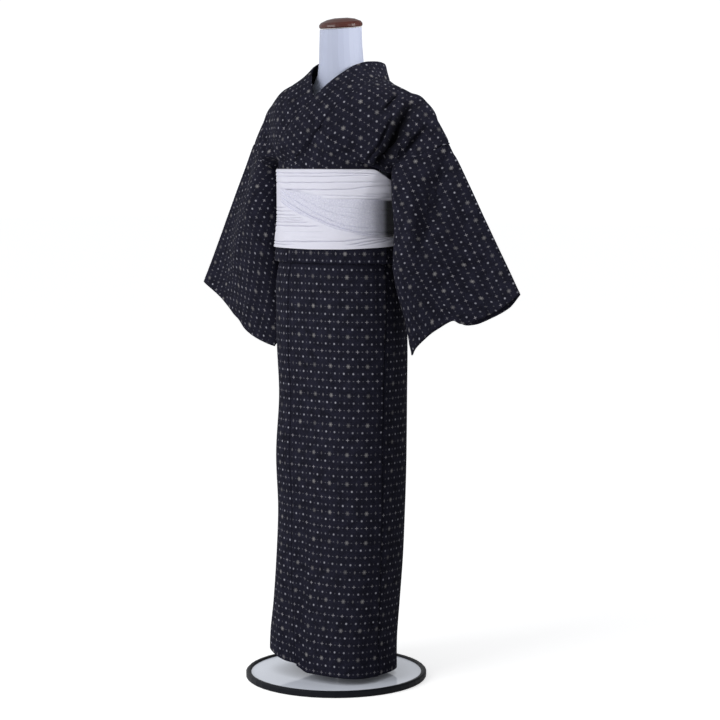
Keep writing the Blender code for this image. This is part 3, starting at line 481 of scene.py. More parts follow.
def value_noise(x, y, seed):
    """Smooth noise from -1 to 1 over a unit lattice."""
    i, j = np.floor(x).astype(int), np.floor(y).astype(int)
    fx, fy = smooth(x - i), smooth(y - j)

    def corner(p, q):
        h = np.sin(p * 127.1 + q * 311.7 + seed * 74.7) * 43758.5453
        return 2 * (h - np.floor(h)) - 1
    return ((corner(i, j) * (1 - fx) + corner(i + 1, j) * fx) * (1 - fy)
            + (corner(i, j + 1) * (1 - fx) + corner(i + 1, j + 1) * fx) * fy)


# ------------------------------------------------------------------- creases
# Each crease: (sheet, half width, height, points it runs through). Troughs have heights below zero.
CREASES = (
    ("body_left", 0.0118, -0.0215, ((0.191, -0.015, 1.240), (0.191, -0.033, 1.211), (0.188, -0.046, 1.190),
        (0.184, -0.058, 1.168),
                                    (0.180, -0.070, 1.146), (0.171, -0.075, 1.128), (0.156, -0.070, 1.110),
                                            (0.140, -0.066, 1.090))),
    ("body_left", 0.0045, -0.0085, ((0.160, -0.012, 1.260), (0.161, -0.038, 1.245), (0.154, -0.054, 1.228))),
    ("body_left", 0.0048, -0.0090, ((0.172, -0.046, 1.213), (0.162, -0.065, 1.173), (0.154, -0.081, 1.142),
        (0.135, -0.084, 1.119))),
    ("body_left", 0.0045, 0.0045, ((0.178, -0.058, 1.170), (0.168, -0.068, 1.142), (0.150, -0.070, 1.117))),
    ("body_left", 0.0052, -0.0095, ((0.227, 0.003, 1.197), (0.211, -0.019, 1.167), (0.193, -0.029, 1.140))),
    ("body_left", 0.0050, 0.0055, ((0.205, -0.010, 1.200), (0.200, -0.036, 1.165), (0.186, -0.044, 1.135))),
    ("body_left", 0.0060, -0.0035, ((0.088, -0.112, 1.200), (0.050, -0.119, 1.190), (0.020, -0.121, 1.188))),
    ("body_right", 0.0068, -0.0080, ((-0.194, -0.012, 1.225), (-0.188, -0.046, 1.180),
        (-0.172, -0.056, 1.130))),
    ("body_right", 0.0040, -0.0035, ((-0.168, -0.059, 1.190), (-0.150, -0.078, 1.145),
        (-0.136, -0.080, 1.120))),
    ("body_left", 0.0070, -0.0130, ((0.196, 0.066, 1.220), (0.186, 0.086, 1.180), (0.150, 0.100, 1.135))),
    ("body_left", 0.0045, -0.0035, ((0.160, 0.086, 1.215), (0.140, 0.104, 1.165), (0.112, 0.112, 1.128))),
    ("body_right", 0.0070, -0.0120, ((-0.196, 0.066, 1.218), (-0.184, 0.086, 1.178), (-0.148, 0.100, 1.133))),
    ("body_right", 0.0050, -0.0035, ((-0.150, 0.090, 1.210), (-0.124, 0.108, 1.160), (-0.092, 0.116, 1.126))),
    ("sleeve_left", 0.0190, -0.0210, ((0.272, 0.022, 1.155), (0.262, 0.008, 1.113), (0.260, -0.011, 1.063),
        (0.259, -0.030, 1.014), (0.249, -0.052, 0.937))),
    ("sleeve_left", 0.0160, 0.0080, ((0.219, -0.047, 1.063), (0.231, -0.055, 0.997), (0.240, -0.056, 0.935))),
    ("sleeve_left", 0.0200, 0.0030, ((0.330, 0.015, 0.960), (0.345, 0.015, 0.890), (0.350, 0.020, 0.830))),
    ("body_left", 0.0080, 0.0028, ((-0.046, -0.107, 0.330), (-0.046, -0.107, 0.287), (-0.039, -0.112, 0.189),
        (-0.031, -0.117, 0.080), (-0.027, -0.119, 0.012))),
    ("body_left", 0.0090, -0.0024, ((-0.020, -0.110, 0.300), (-0.014, -0.114, 0.148), (-0.007, -0.119, 0.010))),
    ("okumi_left", 0.0080, 0.0030, ((-0.092, -0.098, 0.300), (-0.088, -0.102, 0.200), (-0.088, -0.111, 0.071),
        (-0.088, -0.112, 0.030))),
    ("okumi_left", 0.0080, -0.0030, ((-0.070, -0.104, 0.260), (-0.064, -0.110, 0.150),
        (-0.060, -0.114, 0.040))),
    ("body_right", 0.0100, -0.0030, ((-0.090, 0.085, 0.500), (-0.100, 0.080, 0.300), (-0.105, 0.080, 0.050))),
    ("body_left", 0.0100, 0.0030, ((0.085, 0.085, 0.520), (0.092, 0.082, 0.300), (0.096, 0.082, 0.060))),
    ("sleeve_left", 0.0160, -0.0045, ((0.270, 0.060, 1.080), (0.280, 0.050, 1.000), (0.270, 0.040, 0.900))),
    ("sleeve_right", 0.0140, 0.0035, ((-0.208, -0.031, 0.867), (-0.240, -0.018, 0.814),
        (-0.274, -0.003, 0.764))),
    ("sleeve_right", 0.0240, -0.0065, ((-0.268, 0.006, 1.095), (-0.262, -0.012, 1.045),
        (-0.240, -0.045, 0.990), (-0.250, -0.042, 0.930), (-0.272, -0.026, 0.880))),
    ("sleeve_right", 0.0160, -0.0045, ((-0.270, 0.060, 1.080), (-0.285, 0.050, 0.990), (-0.260, 0.040, 0.880))),
)


DEEP_WIDTH, DEEP_DEPTH = 0.0125, 0.008     # narrower and deeper creases have steep walls, and painted shade darkens their colour
# crease depth at which the painted shade in a deep crease reaches full strength
FULL_PAINTED_SHADE_DEPTH = 0.016


def on_sheet(path, grid, normal, step=0.012):
    """The path in short steps, each moved straight onto the sheet, and evened out."""
    run = run_length(path)
    path = spline(run, path, np.linspace(0, run[-1], max(3, int(run[-1] / step))))
    for k, point in enumerate(path):
        near = nearest_place(grid, point)
        path[k] = point + normal[near] * ((grid[near] - point) @ normal[near])
    path[1:-1] = (path[:-2] + 2 * path[1:-1] + path[2:]) / 4
    run = run_length(path)
    return spline(run, path, np.linspace(0, run[-1], 2 * len(path)))


def crease_height(sheet, grid, normal):
    """Height of the sheet's creases at each point of its grid, and the painted shade that darkens the colour
    deep in them.
    """
    total, shade = np.zeros(grid.shape[:2]), np.zeros(grid.shape[:2])
    for name, half, height, path in CREASES:
        if name != sheet:
            continue
        path = on_sheet(np.array(path), grid, normal)
        lengths = run_length(path)
        nearest, place = np.full(grid.shape[:2], np.inf), np.zeros(grid.shape[:2])
        for a, b, s, e in zip(path[:-1], path[1:], lengths[:-1], lengths[1:]):
            t = np.clip(((grid - a) @ (b - a)) / ((b - a) @ (b - a)), 0, 1)
            d = np.linalg.norm(grid - (a + t[..., None] * (b - a)), axis=-1)
            place = np.where(d < nearest, (s + t * (e - s)) / lengths[-1], place)
            nearest = np.minimum(d, nearest)
        facing = normal[nearest_place(grid, path[len(path) // 2])]
        same_side = smooth(normal @ facing, -0.45, 0.0)
        fade = np.sin(np.pi * (0.10 + 0.75 * place))
        deep = half < DEEP_WIDTH and height < -DEEP_DEPTH
        reach = half * (0.55 + 0.45 * fade)
        total += height * fade * same_side * np.exp(-(nearest / reach) ** (4 if deep else 2))
        if deep:
            # painted shade: the colour darkens on the walls and floor of deep creases
            shaded = np.sqrt(fade) * same_side * np.exp(-(nearest / (1.35 * reach)) ** 4)
            shade = np.maximum(shade, min(1.0, height / -FULL_PAINTED_SHADE_DEPTH) * shaded)
    return total, shade


# ----------------------------------------------------------------- mesh maker
def add_object(name, data):
    obj = bpy.data.objects.new(name, data)
    bpy.context.scene.collection.objects.link(obj)
    return obj


def cloth_mesh(name, grid, uv, wall, front, reverse, outward, shade=None, ring_rows=False, ring_columns=False):
    """A closed thin shell on the grid, with cloth coordinates in metres and its own material on the reverse."""
    rows, columns = grid.shape[:2]
    closed = np.concatenate([grid, grid[:1]], 0) if ring_rows else grid
    if ring_columns:
        closed = np.concatenate([closed, closed[:, :1]], 1)
    def difference(axis, ring):
        return np.roll(grid, -1, axis) - np.roll(grid, 1, axis) if ring else np.gradient(grid, axis=axis)
    normal = np.cross(difference(0, ring_rows), difference(1, ring_columns))
    normal /= np.maximum(np.linalg.norm(normal, axis=-1, keepdims=True), 1e-12)
    normal = facing_out(normal, outward)
    points = np.concatenate([(grid + normal * wall / 2).reshape(-1, 3),
            (grid - normal * wall / 2).reshape(-1, 3)]) + ON_STAND
    n = rows * columns
    i = np.arange(rows if ring_rows else rows - 1)
    j = np.arange(columns if ring_columns else columns - 1)
    I, J = np.meshgrid(i, j, indexing="ij")
    def at(p, q):
        return (p % rows) * columns + (q % columns)
    quad = np.stack([at(I, J), at(I + 1, J), at(I + 1, J + 1), at(I, J + 1)], -1).reshape(-1, 4)
    K, L = (I + 1) % rows, (J + 1) % columns
    corner_uv = np.stack([uv[I, J], uv[K, J], uv[K, L], uv[I, L]], 2).reshape(-1, 4, 2)
    rim, rim_uv = [], []
    if not ring_rows:
        for r, flip in ((0, False), (rows - 1, True)):
            a, b = at(r, j), at(r, j + 1)
            q = np.stack([a, b, n + b, n + a], -1)
            w = np.stack([uv[r, j], uv[r, (j + 1) % columns], uv[r, (j + 1) % columns], uv[r, j]], 1)
            rim.append(q[:, ::-1] if flip else q); rim_uv.append(w[:, ::-1] if flip else w)
    if not ring_columns:
        for c, flip in ((0, True), (columns - 1, False)):
            a, b = at(i, c), at(i + 1, c)
            q = np.stack([a, b, n + b, n + a], -1)
            w = np.stack([uv[i, c], uv[(i + 1) % rows, c], uv[(i + 1) % rows, c], uv[i, c]], 1)
            rim.append(q[:, ::-1] if flip else q); rim_uv.append(w[:, ::-1] if flip else w)
    faces = np.concatenate([quad, n + quad[:, ::-1]] + rim)
    face_uv = np.concatenate([corner_uv, corner_uv[:, ::-1]] + rim_uv)
    # turn every face outwards together
    a, b, c = points[faces[:, 0]], points[faces[:, 1]], points[faces[:, 2]]
    d = points[faces[:, 3]]
    volume = np.einsum("ij,ij->", a, np.cross(b, c)) + np.einsum("ij,ij->", a, np.cross(c, d))
    if volume < 0:
        faces, face_uv = faces[:, ::-1], face_uv[:, ::-1]
    mesh = bpy.data.meshes.new(name)
    mesh.vertices.add(len(points))
    mesh.vertices.foreach_set("co", points.astype(np.float32).ravel())
    mesh.loops.add(faces.size)
    mesh.loops.foreach_set("vertex_index", faces.astype(np.int32).ravel())
    mesh.polygons.add(len(faces))
    mesh.polygons.foreach_set("loop_start", np.arange(0, faces.size, 4, dtype=np.int32))
    mesh.polygons.foreach_set("loop_total", np.full(len(faces), 4, np.int32))
    mesh.materials.append(front); mesh.materials.append(reverse)
    side = np.zeros(len(faces), np.int32)
    side[len(quad):2 * len(quad)] = 1
    mesh.polygons.foreach_set("material_index", side)
    mesh.polygons.foreach_set("use_smooth", np.ones(len(faces), bool))
    layer = mesh.uv_layers.new(name="cloth")
    layer.data.foreach_set("uv", face_uv.astype(np.float32).ravel())
    # painted shade, stored at each point, which the material uses to darken the colour
    if shade is not None:
        depth = mesh.attributes.new("shade", "FLOAT", "POINT")
        depth.data.foreach_set("value", np.tile(shade.ravel(), 2).astype(np.float32))
    mesh.update(); mesh.validate()
    return add_object(name, mesh)


# ---------------------------------------------------------------- shader maths
class Field:
    """A number at each point of a material, worked out by Math nodes."""
    def __init__(self, tree, socket):
        self.tree, self.socket = tree, socket

    def math(self, operation, *others, clamp=False):
        node = self.tree.nodes.new("ShaderNodeMath")
        node.operation, node.use_clamp = operation, clamp
        for k, value in enumerate((self, *others)):
            if isinstance(value, Field):
                self.tree.links.new(value.socket, node.inputs[k])
            else:
                node.inputs[k].default_value = value
        return Field(self.tree, node.outputs[0])

    def __add__(self, o): return self.math("ADD", o)
    def __sub__(self, o): return self.math("SUBTRACT", o)
    def __mul__(self, o): return self.math("MULTIPLY", o)
    def __truediv__(self, o): return self.math("DIVIDE", o)
    def abs(self): return self.math("ABSOLUTE")
    def max(self, o): return self.math("MAXIMUM", o)
    def min(self, o): return self.math("MINIMUM", o)

    def near(self, centre, spacing):
        """Signed distance to the nearest of the places centre + k spacing."""
        return ((self - (centre - spacing / 2)).math("FLOORED_MODULO", spacing)) - spacing / 2

    def below(self, limit, soft):
        """1 where under the limit, fading to 0 over soft."""
        return ((self * -1 + limit) / soft + 0.5).math("ADD", 0.0, clamp=True)


def length_of(a, b):
    return (a * a + b * b).math("SQRT")


def set_inputs(shader, values):
    for name, value in values.items():
        shader.inputs[name].default_value = value


def new_material(name):
    made = bpy.data.materials.new(name)
    made.use_nodes = True
    return made, made.node_tree, made.node_tree.nodes["Principled BSDF"]


def cloth_coordinates(tree):
    uv = tree.nodes.new("ShaderNodeUVMap"); uv.uv_map = "cloth"
    split = tree.nodes.new("ShaderNodeSeparateXYZ")
    tree.links.new(uv.outputs[0], split.inputs[0])
    return Field(tree, split.outputs[0]), Field(tree, split.outputs[1]), uv.outputs[0]


def noise(tree, vector, scale, detail=2.0, rough=0.5):
    node = tree.nodes.new("ShaderNodeTexNoise")
    node.inputs["Scale"].default_value = scale
    node.inputs["Detail"].default_value = detail
    node.inputs["Roughness"].default_value = rough
    tree.links.new(vector, node.inputs["Vector"])
    return Field(tree, node.outputs[0])


def mix(tree, factor, a, b):
    node = tree.nodes.new("ShaderNodeMix"); node.data_type = "RGBA"
    if isinstance(factor, Field):
        tree.links.new(factor.socket, node.inputs[0])
    else:
        node.inputs[0].default_value = factor
    for k, value in ((6, a), (7, b)):
        if isinstance(value, tuple):
            node.inputs[k].default_value = (*value, 1)
        else:
            tree.links.new(value, node.inputs[k])
    return node.outputs[2]


# Colours of the cloth's ground and of each printed motif
GROUND = (0.0122, 0.0122, 0.0215)
GROUND_SHARES = (0.30, 1.90)           # its darkest and lightest threads
PRINT = {"dot": (0.40, 0.40, 0.46), "ring": (0.27, 0.26, 0.265), "lozenge": (0.185, 0.18, 0.195),
         "cross": (0.32, 0.31, 0.34), "speck": (0.16, 0.16, 0.185)}


def printed_cotton(name, strength=1.0):
    """Plain-weave cotton with a small splash-pattern lattice. Rows repeat: ring, dot, cross, dot."""
    made, tree, shader = new_material(name)
    u, v, vector = cloth_coordinates(tree)
    wobble = (noise(tree, vector, 900, 1.0) - 0.5) * 0.0009     # threads shift a little, so edges feather
    u, v = u + wobble, v + (noise(tree, vector, 700, 1.0) - 0.5) * 0.0007
    a, b = WEFT, WARP
    on_u, mid_u = u.near(0.0, a), u.near(a / 2, a)
    dot_v, ring_v, cross_v = v.near(b, 2 * b), v.near(0.0, 4 * b), v.near(2 * b, 4 * b)
    big_u, small_u = u.near(a / 2, 2 * a), u.near(3 * a / 2, 2 * a)

    dot = length_of(on_u, dot_v * 0.92).below(0.0017, 0.0020)
    dash = (mid_u.abs() * 1.3).max(dot_v.abs()).below(0.0013, 0.0014) * 0.6
    # ring: a soft rosette, pale at the heart, with six lobes and short points
    r, angle = length_of(big_u, ring_v), ring_v.math("ARCTAN2", big_u)
    lobes = (r - (angle * 6).math("COSINE") * 0.0009).below(0.0040, 0.0024) * 0.52
    points = (big_u.abs() * 0.55 + ring_v.abs() * 2.1).max(0.0).below(0.0030, 0.0022) * 0.55
    points = points.max((big_u.abs() * 2.1 + ring_v.abs() * 0.62).below(0.0030, 0.0022) * 0.6)
    ring = r.below(0.0021, 0.0026).max(lobes).max(points)
    # lozenge: a small upright diamond
    diamond = small_u.abs() * 1.9 + ring_v.abs()
    lozenge = (diamond - 0.0030).abs().below(0.0009, 0.0018).max(diamond.below(0.0030, 0.0022) * 0.7)
    link = (on_u.abs().max(ring_v.abs() * 1.5)).below(0.0012, 0.0014)
    # cross rows
    arms = mid_u.abs().min(cross_v.abs()).below(0.00055, 0.0008) * mid_u.abs().max(cross_v.abs()).below(0.0034,
            0.0016)
    heart = (mid_u.abs() * 1.3 + cross_v.abs()).below(0.0020, 0.0018) * 0.7
    cross = arms.max(heart)
    link2 = (on_u.abs().max(cross_v.abs() * 1.4)).below(0.0012, 0.0014)

    # each motif takes the dye differently
    cell = tree.nodes.new("ShaderNodeTexWhiteNoise"); cell.noise_dimensions = "2D"
    combine = tree.nodes.new("ShaderNodeCombineXYZ")
    tree.links.new((u / (a / 2) + 0.5).math("FLOOR").socket, combine.inputs[0])
    tree.links.new((v / b + 0.5).math("FLOOR").socket, combine.inputs[1])
    tree.links.new(combine.outputs[0], cell.inputs["Vector"])
    uneven = (Field(tree, cell.outputs[0]) * 0.7 + 0.45) * (noise(tree, vector, 2000, 1.0) * 0.9
            + 0.5) * strength

    grain = ((noise(tree, vector, 560, 2.0, 0.7) - 0.5) * 2.4 + noise(tree, vector, 45, 2.0)).math("ADD", 0.0,
            clamp=True)
    colour = mix(tree, grain, *(tuple(share * c for c in GROUND) for share in GROUND_SHARES))
    for amount, key in ((dash.max(link * 0.8).max(link2), "speck"), (lozenge, "lozenge"), (ring, "ring"),
            (cross, "cross"), (dot, "dot")):
        colour = mix(tree, (amount * uneven).math("ADD", 0.0, clamp=True), colour, PRINT[key])
    # painted shade: near black deep in the creases, where the mesh's painted shade attribute says so
    colour = shaded(tree, colour, 0.96, (0.0012, 0.0012, 0.0018))
    tree.links.new(colour, shader.inputs["Base Color"])
    set_inputs(shader, {"Roughness": 0.86, "Specular IOR Level": 0.06, "Sheen Weight": 0.012,
                        "Sheen Roughness": 0.45, "Sheen Tint": (0.55, 0.57, 0.68, 1)})
    weave(tree, shader, vector, 0.00045, 0.20)
    return made


def shaded(tree, colour, strength, painted_shade_colour):
    """Painted shade: the colour, darkened towards the given dark colour where the mesh's painted shade
    attribute says that it lies deep in a fold, and on the belt behind the left sleeve.
    """
    painted_shade_reader = tree.nodes.new("ShaderNodeAttribute"); painted_shade_reader.attribute_name = "shade"
    return mix(tree, Field(tree, painted_shade_reader.outputs["Fac"]) * strength, colour, painted_shade_colour)


def weave(tree, shader, vector, thread, strength):
    """Bump of over-and-under threads this far apart, with some slubs."""
    u, v, _ = cloth_coordinates(tree)
    k = 2 * math.pi / thread
    cloth = (u * k).math("SINE") * (v * k).math("SINE") + noise(tree, vector, 420, 2.0) * 0.9
    bump = tree.nodes.new("ShaderNodeBump")
    bump.inputs["Strength"].default_value = strength
    bump.inputs["Distance"].default_value = 0.0004
    tree.links.new(cloth.socket, bump.inputs["Height"])
    tree.links.new(bump.outputs[0], shader.inputs["Normal"])


def belt_cloth(name, base, sheer=False):
    made, tree, shader = new_material(name)
    vector = cloth_coordinates(tree)[2]
    mottled = noise(tree, vector, 30, 3.0)
    fleck = (noise(tree, vector, 520, 1.0) - 0.5).abs().below(0.03, 0.05) * (0.35 if sheer else 0.10)
    colour = mix(tree, mottled, tuple(0.93 * c for c in base), base)
    if sheer:           # the plies under the thin cloth show through unevenly
        through = ((noise(tree, vector, 260, 2.0, 0.7) - 0.5) * 2.6 + 0.5).math("ADD", 0.0, clamp=True)
        colour = mix(tree, through, tuple(0.76 * c for c in base[:2]) + (0.82 * base[2],), colour)
    colour = mix(tree, fleck, colour, tuple(0.62 * c for c in base))
    # painted shade: darker where the mesh's painted shade attribute says so
    colour = shaded(tree, colour, 0.93, (0.006, 0.006, 0.008))
    tree.links.new(colour, shader.inputs["Base Color"])
    set_inputs(shader, {"Roughness": 0.55, "Specular IOR Level": 0.35, "Sheen Weight": 0.15})
    weave(tree, shader, vector, 0.0006, 0.30)
    return made


COTTON, REVERSE = printed_cotton("printed_cotton"), printed_cotton("printed_cotton_reverse", 0.45)
BELT = belt_cloth("belt_cloth", (0.835, 0.83, 0.935))
SHEER = belt_cloth("belt_cloth_sheer", (0.86, 0.86, 0.97), sheer=True)
CLOTH_THIN, DOUBLE_THIN = 0.0009, 0.0018


# ------------------------------------------------------------ the robe's sheets
V_SHOULDER = 1.47            # cloth length from the skirt's zero height up to the shoulder fold
PHASE = {"front": (WEFT, 0.0588), "back": (0.004, 0.049), "okumi": (0.006, 0.058 + 2 * WARP),
         "collar": (0.0, 0.0), "chest": (-0.0090, 0.0065)}
OKUMI_TOP = 0.20              # the overlap strip ends this far below the shoulder, in cloth
TUCK_SHIFT = 0.0120           # the tuck's outer ply shows another part of the repeat
MIDDLE_DEGREES = {"front": 31.0, "back": 130.0}


def grain_height(heights, degrees):
    """Height measured in the cloth: low down its threads follow the hem, and sink a little to the left."""
    low_down = np.clip(1 - heights / 0.45, 0, 1)
    sag = 0.0040 + 0.003 * low_down + (0.0010 + 0.0015 * low_down) * np.clip((degrees - 5) / 45, 0, 1)
    sag = sag * (1 - smooth(-degrees, 60, 120))
    return heights - hem_rise(degrees) * low_down + sag


def skirt_uv(grid, degrees, heights, middle, phase, up=1):
    """Cloth coordinates of the wrapped rows: across from a fixed upright line, along by height."""
    across = arc(grid, 1)
    u = np.empty(grid.shape[:2])
    for k in range(len(grid)):
        order = np.argsort(degrees[k])
        u[k] = across[k] - np.interp(middle, degrees[k][order], across[k][order])
    return np.stack([u + phase[0], up * heights - phase[1]], -1)


def strip_uv(grid):
    """Cloth coordinates of a narrow strip: squarely across from its middle line, and along it."""
    middle = grid.shape[1] // 2
    centre = grid[:, middle]
    run = np.gradient(centre, axis=0)
    for _ in range(3):
        run[1:-1] = (run[:-2] + 2 * run[1:-1] + run[2:]) / 4
    run /= np.linalg.norm(run, axis=1, keepdims=True)
    away = grid - centre[:, None]
    slant = np.einsum("ijk,ik->ij", away, run)
    wide = np.sqrt(np.maximum((away ** 2).sum(-1) - slant ** 2, 0)) * np.sign(np.arange(grid.shape[1]) - middle)
    length = run_length(centre)
    return np.stack([wide - wide[:, :1].mean(), length[:, None] + slant], -1)


def flatten(grid, guess, rounds=12):
    """Lays a grid of points flat with as little stretch as it can (each cell keeps its shape, turned)."""
    rows, columns = grid.shape[:2]
    n = rows * columns
    i, j = np.meshgrid(np.arange(rows - 1), np.arange(columns - 1), indexing="ij")
    a, b, c, d = ((p * columns + q).ravel() for p, q in ((i, j), (i + 1, j), (i + 1, j + 1), (i, j + 1)))
    tri = np.concatenate([np.stack([a, b, c], 1), np.stack([a, c, d], 1)])
    p = grid.reshape(-1, 3)[tri]
    e1, e2 = p[:, 1] - p[:, 0], p[:, 2] - p[:, 0]
    long1 = np.linalg.norm(e1, axis=1)
    x2 = np.einsum("ij,ij->i", e1, e2) / long1
    y2 = np.linalg.norm(np.cross(e1, e2), axis=1) / long1
    q0, flat = guess.reshape(-1, 2)[tri], np.zeros((len(tri), 3, 2))
    flat[:, 1, 0], flat[:, 2, 0], flat[:, 2, 1] = long1, x2, y2
    f1, f2 = q0[:, 1] - q0[:, 0], q0[:, 2] - q0[:, 0]
    flat[..., 1] *= np.sign((f1[:, 0] * f2[:, 1] - f1[:, 1] * f2[:, 0]).sum())
    L = np.zeros((n, n))
    weights = []
    for k in range(3):
        u, v, w = k, (k + 1) % 3, (k + 2) % 3
        r, t = flat[:, u] - flat[:, w], flat[:, v] - flat[:, w]
        cot = np.einsum("ij,ij->i", r, t) / np.maximum(np.abs(r[:, 0] * t[:, 1] - r[:, 1] * t[:, 0]), 1e-12)
        cot = np.clip(cot, 0.02, 20)
        weights.append((u, v, cot))
        for m, o in ((u, v), (v, u)):
            np.add.at(L, (tri[:, m], tri[:, m]), cot)
            np.add.at(L, (tri[:, m], tri[:, o]), -cot)
    L[0] = 0; L[0, 0] = 1
    inverse = np.linalg.inv(L)
    uv = guess.reshape(-1, 2).astype(float).copy()
    for _ in range(rounds):
        cov = np.zeros((len(tri), 2, 2))
        for u, v, cot in weights:
            cov += cot[:, None, None] * np.einsum("ij,ik->ijk", uv[tri[:, u]] - uv[tri[:, v]], flat[:,
                    u] - flat[:, v])
        turn = np.arctan2(cov[:, 1, 0] - cov[:, 0, 1], cov[:, 0, 0] + cov[:, 1, 1])
        co, si = np.cos(turn), np.sin(turn)
        R = np.stack([np.stack([co, -si], -1), np.stack([si, co], -1)], 1)
        rhs = np.zeros((n, 2))
        for u, v, cot in weights:
            push = cot[:, None] * np.einsum("ijk,ik->ij", R, flat[:, u] - flat[:, v])
            np.add.at(rhs, tri[:, u], push)
            np.add.at(rhs, tri[:, v], -push)
        rhs[0] = guess[0, 0]
        uv = inverse @ rhs
    return uv.reshape(rows, columns, 2)


UNDER_BELT_PULL = 0.0115             # the body cloth draws in behind the belt's left side
CHEST_TURN = math.radians(12)        # the cloth's grain leans towards the shoulder


def bodice_cloth(side, u, steps):
    """Cloth coordinates of the body above the belt, front and back, laid flat over the shoulder fold."""
    cols = np.linspace(0, 1, 15)
    coarse = np.concatenate([[0.11, 0.165, BELT_STEP], ROWS[3:5], np.linspace(FREE_STEP, 1, 12)])
    front, back = bodice(side, cols, coarse, False), bodice(side, cols, coarse, True)
    whole = np.concatenate([front, back[::-1][1:]])
    along, across = arc(whole, 0), arc(whole, 1)
    ridge = len(coarse) - 1
    guess = np.stack([across - across[:, -1:], along - along[ridge:ridge + 1]], -1)
    flat = flatten(whole, guess)
    lean = flat[ridge, -1] - flat[ridge, 0]
    t = -math.atan2(lean[1], lean[0]) - side * CHEST_TURN
    flat = flat @ np.array(((math.cos(t), math.sin(t)), (-math.sin(t), math.cos(t))))
    flat[..., 0] -= flat[ridge - 6:ridge + 1, -1, 0].mean()
    flat[..., 1] += V_SHOULDER - flat[ridge, :, 1].mean()
    flat += PHASE["chest"]
    out = []
    for back in (False, True):
        index = np.interp(steps, coarse, np.arange(len(coarse)))
        index = len(whole) - 1 - index if back else index
        tall = spline(np.arange(len(whole)), flat, index)
        out.append(np.moveaxis(spline(cols, np.moveaxis(tall, 1, 0), u), 1, 0))
    return out


def fine_body(side, count=83):
    """The body panel, front hem over the shoulder to back hem: points, cloth coordinates and painted shade for
    its deep creases.
    """
    u = columns_of(count)
    path = tuck_path()
    coarse = np.array(ROWS)
    steps = np.unique(np.concatenate([np.linspace(a, b, 7) for a, b in zip(coarse[:-1], coarse[1:])]))
    halves, uvs = [], []
    for back in (False, True):
        angle = back_degrees if back else front_degrees
        low = np.array([wrapped_row(kind, value, side, lambda c, z: side * angle(c, z),
                u) for kind, value in path])
        high = bodice(side, u, steps, back)
        # below the belt
        name = "back" if back else "front"
        base_z = np.clip(low[..., 2], HEM_Z, None)
        degrees = np.array([np.broadcast_to(angle(u, z.mean()), u.shape) for z in base_z])
        kinds = np.array([k for k, _ in path])
        skirt = kinds == "skirt"
        heights = low[..., 2] if back else grain_height(low[..., 2], side * degrees)
        heights = heights.copy()
        top = skirt.sum()
        extra = arc(low[top - 1:], 0)
        heights[top - 1:] = heights[top - 1:top] + extra
        heights[np.array([k == "outer" or (k == "tuck" and t > 90) for k, t in path])] += TUCK_SHIFT
        uv_low = skirt_uv(low, degrees, heights, MIDDLE_DEGREES[name], PHASE[name], -1 if back else 1)
        if back:
            uv_low[..., 0] *= -1
        uv_high = bodice_cloth(side, u, steps)[int(back)]
        halves.append(np.concatenate([low, high]))
        uvs.append(np.concatenate([uv_low, uv_high]))
    grid = np.concatenate([halves[0], halves[1][::-1][1:]])
    uv = np.concatenate([uvs[0], uvs[1][::-1][1:]])
    # seams sink a little
    across = arc(grid, 1)
    dip = seam_dip(across) + seam_dip(across[:, -1:] - across)
    front = (np.arange(len(grid)) < len(halves[0]))[:, None]
    skirt = 1 - smooth(grid[..., 2], 0.960, 0.985)
    folded = 0.0012 * smooth(across, 0.001, 0.004) * (1 - smooth(across, 0.006, 0.016))
    dip = dip + front * (skirt * (0.45 + 0.55 * smooth(grid[..., 2], 0.35, 0.75)) * seam_dip(across, 0.0042,
            0.0016) + skirt * folded)
    to_side = across[:, -1:] - across
    dip = dip + skirt * (front * seam_dip(to_side, 0.0030, 0.0016) + front * 0.0022 * smooth(to_side, 0.001,
            0.005) * (1 - smooth(to_side, 0.007, 0.024)))
    turn = np.degrees(np.arctan2(grid[..., 0], -grid[..., 1]))
    under_belt = smooth(turn, 62, 84) * (1 - smooth(turn, 112, 140)) * smooth(grid[..., 2], 0.940,
            0.951) * (1 - smooth(grid[..., 2], 1.036, 1.048))
    level = grid * LEVEL
    inward = level / np.linalg.norm(level, axis=-1, keepdims=True) * (UNDER_BELT_PULL * under_belt)[..., None]
    n = facing_out(normals(grid), grid * LEVEL)
    ripple = 0.0005 * value_noise(uv[..., 0] / 0.05, uv[..., 1] / 0.11, 3 + side)
    # crease relief, and painted shade that darkens the colour in the deep creases
    crease, shade = crease_height("body_left" if side > 0 else "body_right", grid, n)
    return grid + n * (dip + ripple + crease)[..., None] - inward, uv, shade


